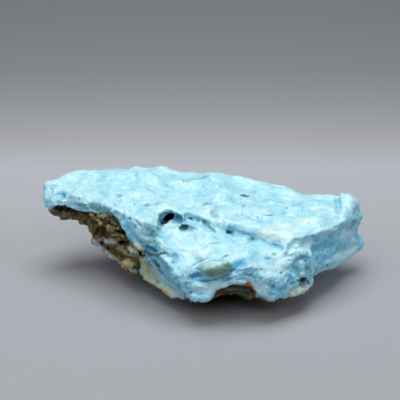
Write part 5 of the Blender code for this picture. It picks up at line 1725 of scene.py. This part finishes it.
# Limonite matrix: earthy brown, porous and without gloss, dark in its cells and small hollows where shade is
# painted, and paler on proud points where a highlight is painted.
MATRIX_FINISH = StoneFinish(
    name="porous_limonite",
    base="#74684a",
    layers=(
        Layer(5.5, "#8f8259", 0.46, 0.62, 0.9),
        Layer(2.2, "#54493a", 0.5, 0.66, 0.8),
        Layer(0.9, "#b0a47c", 0.56, 0.7, 0.6),
        # Painted shade in small hollows, partly the darker pores; painted highlight on proud points.
        Layer("small_hollow", "#33291b", most=0.7),
        Layer("small_proud", "#a59a74", most=0.5),
        Layer(Tint.EARTH.value, "#84683c", most=0.85),
        Layer(Tint.SKY.value, "#9dc0cf"),
        Layer(Tint.TEAL.value, "#7fa8a0"),
        Layer(Tint.OLIVE.value, "#b9bb86"),
        Layer(Tint.TAN.value, "#c9bf93"),
        Layer(Tint.VEIN.value, "#d6e6e6"),
        Layer(Tint.RUST.value, "#94481f"),
        # Near black: painted shade in pores, holes and cracks.
        Layer(Tint.POCKET_SHADE.value, "#070605"),
    ),
    grains=(Grain(1.5, 0.8), Grain(0.6, 0.6), Grain(0.3, 0.3)),
    depth=0.5,
    roughness=0.9,
    ior=1.5,
    specular_level=0.25,
)


@dataclass
class Stone:
    """The dressed stone: its skin with the crust's and the matrix's finishes."""

    skin: Skin
    crust_finish: StoneFinish = CRUST_FINISH
    matrix_finish: StoneFinish = MATRIX_FINISH

    def dress(self, stone: bpy.types.Object) -> None:
        """Give each face the finish of the crust or of the matrix.

        Args:
            stone: the skin with its attributes.
        """
        mesh = stone.data
        mesh.materials.clear()
        mesh.materials.append(self.crust_finish.material())
        mesh.materials.append(self.matrix_finish.material())
        bare = np.zeros(len(mesh.vertices), np.float32)
        mesh.attributes["bare_matrix"].data.foreach_get("value", bare)
        corners = np.zeros(len(mesh.loops), np.int32)
        mesh.loops.foreach_get("vertex_index", corners)
        starts = np.zeros(len(mesh.polygons), np.int32)
        mesh.polygons.foreach_get("loop_start", starts)
        sides = np.diff(np.append(starts, len(corners)))
        share = np.add.reduceat(bare[corners], starts) / sides
        mesh.polygons.foreach_set("material_index", (share > 0.5).astype(np.int32))
        mesh.update()

    def build(self) -> bpy.types.Object:
        """Make the stone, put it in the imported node's place and return it."""
        stone = self.skin.build()
        self.dress(stone)
        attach(stone, BODY)
        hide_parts(NODE)
        stone.data.calc_loop_triangles()
        log.info("%s: %d triangles", stone.name, len(stone.data.loop_triangles))
        return stone


@dataclass(frozen=True)
class GrainBed:
    """Small grains that sit half sunk in the skin, scattered where an attribute is high.

    name: the piece's name.
    where: the point attribute that thins the scatter.
    per_square: how many lie on a square millimetre where the attribute is 1.
    smallest, largest: half the grains' sizes along their axes.
    seed: picks the scatter.
    """

    name: str
    where: str
    per_square: float
    smallest: tuple[float, float, float]
    largest: tuple[float, float, float]
    seed: int

    def tree(self, material: bpy.types.Material) -> bpy.types.NodeTree:
        """The node tree that scatters the grains over a mesh.

        Args:
            material: what the grains are made of.

        Returns:
            The tree.
        """
        tree = bpy.data.node_groups.new(self.name, "GeometryNodeTree")
        face = tree.interface
        face.new_socket("Geometry", in_out="INPUT", socket_type="NodeSocketGeometry")
        inputs = (("Density", "Float"), ("Smallest", "Vector"), ("Largest", "Vector"), ("Seed", "Int"))
        for title, kind in inputs:
            face.new_socket(title, in_out="INPUT", socket_type=f"NodeSocket{kind}")
        face.new_socket("Geometry", in_out="OUTPUT", socket_type="NodeSocketGeometry")
        given = add_node(tree, "NodeGroupInput").outputs
        share = add_node(tree, "GeometryNodeInputNamedAttribute", {"Name": self.where}, data_type="FLOAT")
        both = {0: share.outputs["Attribute"], 1: given["Density"]}
        density = add_node(tree, "ShaderNodeMath", both, operation="MULTIPLY")
        spots = add_node(
            tree, "GeometryNodeDistributePointsOnFaces",
            {"Mesh": given["Geometry"], "Density": density.outputs[0], "Seed": given["Seed"]},
        )
        ball = add_node(tree, "GeometryNodeMeshIcoSphere", {"Radius": 1.0, "Subdivisions": 1})
        sizes = add_node(
            tree, "FunctionNodeRandomValue",
            {"Min": given["Smallest"], "Max": given["Largest"], "Seed": given["Seed"]},
            data_type="FLOAT_VECTOR",
        )
        full = {"Max": (math.tau, math.tau, math.tau)}
        turns = add_node(tree, "FunctionNodeRandomValue", full, data_type="FLOAT_VECTOR")
        grains = add_node(
            tree, "GeometryNodeInstanceOnPoints",
            {"Points": spots.outputs["Points"], "Instance": ball.outputs["Mesh"],
             "Rotation": turns.outputs["Value"], "Scale": sizes.outputs["Value"]},
        )
        real = add_node(tree, "GeometryNodeRealizeInstances", {"Geometry": grains.outputs["Instances"]})
        dressed = add_node(
            tree, "GeometryNodeSetMaterial", {"Geometry": real.outputs["Geometry"], "Material": material}
        )
        add_node(tree, "NodeGroupOutput", {"Geometry": dressed.outputs["Geometry"]})
        return tree

    def build(self, stone: bpy.types.Object, material: bpy.types.Material) -> bpy.types.Object:
        """Scatter the grains over the stone as a piece of their own.

        Args:
            stone: what carries them.
            material: what they are made of.

        Returns:
            The grains.
        """
        carrier = link_object(self.name, stone.data.copy())
        scatter = carrier.modifiers.new("Scatter", "NODES")
        scatter.node_group = tree = self.tree(material)
        values = {
            "Density": self.per_square / MM**2, "Smallest": [size * MM for size in self.smallest],
            "Largest": [size * MM for size in self.largest], "Seed": self.seed,
        }
        for socket in tree.interface.items_tree:
            if socket.in_out == "INPUT" and socket.name in values:
                scatter[socket.identifier] = values[socket.name]
        grains = baked(carrier)
        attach(grains, BODY)
        log.info("%s: %d triangles", grains.name, len(grains.data.polygons))
        return grains


FROST = GrainBed("frost_grains", "frosted", 0.5, (0.1, 0.1, 0.1), (0.24, 0.24, 0.2), 7)
GRIT = GrainBed("matrix_grit", "gritty", 0.75, (0.15, 0.15, 0.12), (0.55, 0.5, 0.4), 11)


def main() -> None:
    """Build the stone and its studio and report the pieces."""
    logging.basicConfig(level=logging.INFO, format="%(message)s")
    view = Viewpoint()
    view.camera()
    Studio().build()
    stone = Stone(Skin(view)).build()
    crust, matrix = stone.data.materials
    FROST.build(stone, crust)
    GRIT.build(stone, matrix)


if __name__ == "__main__":
    main()
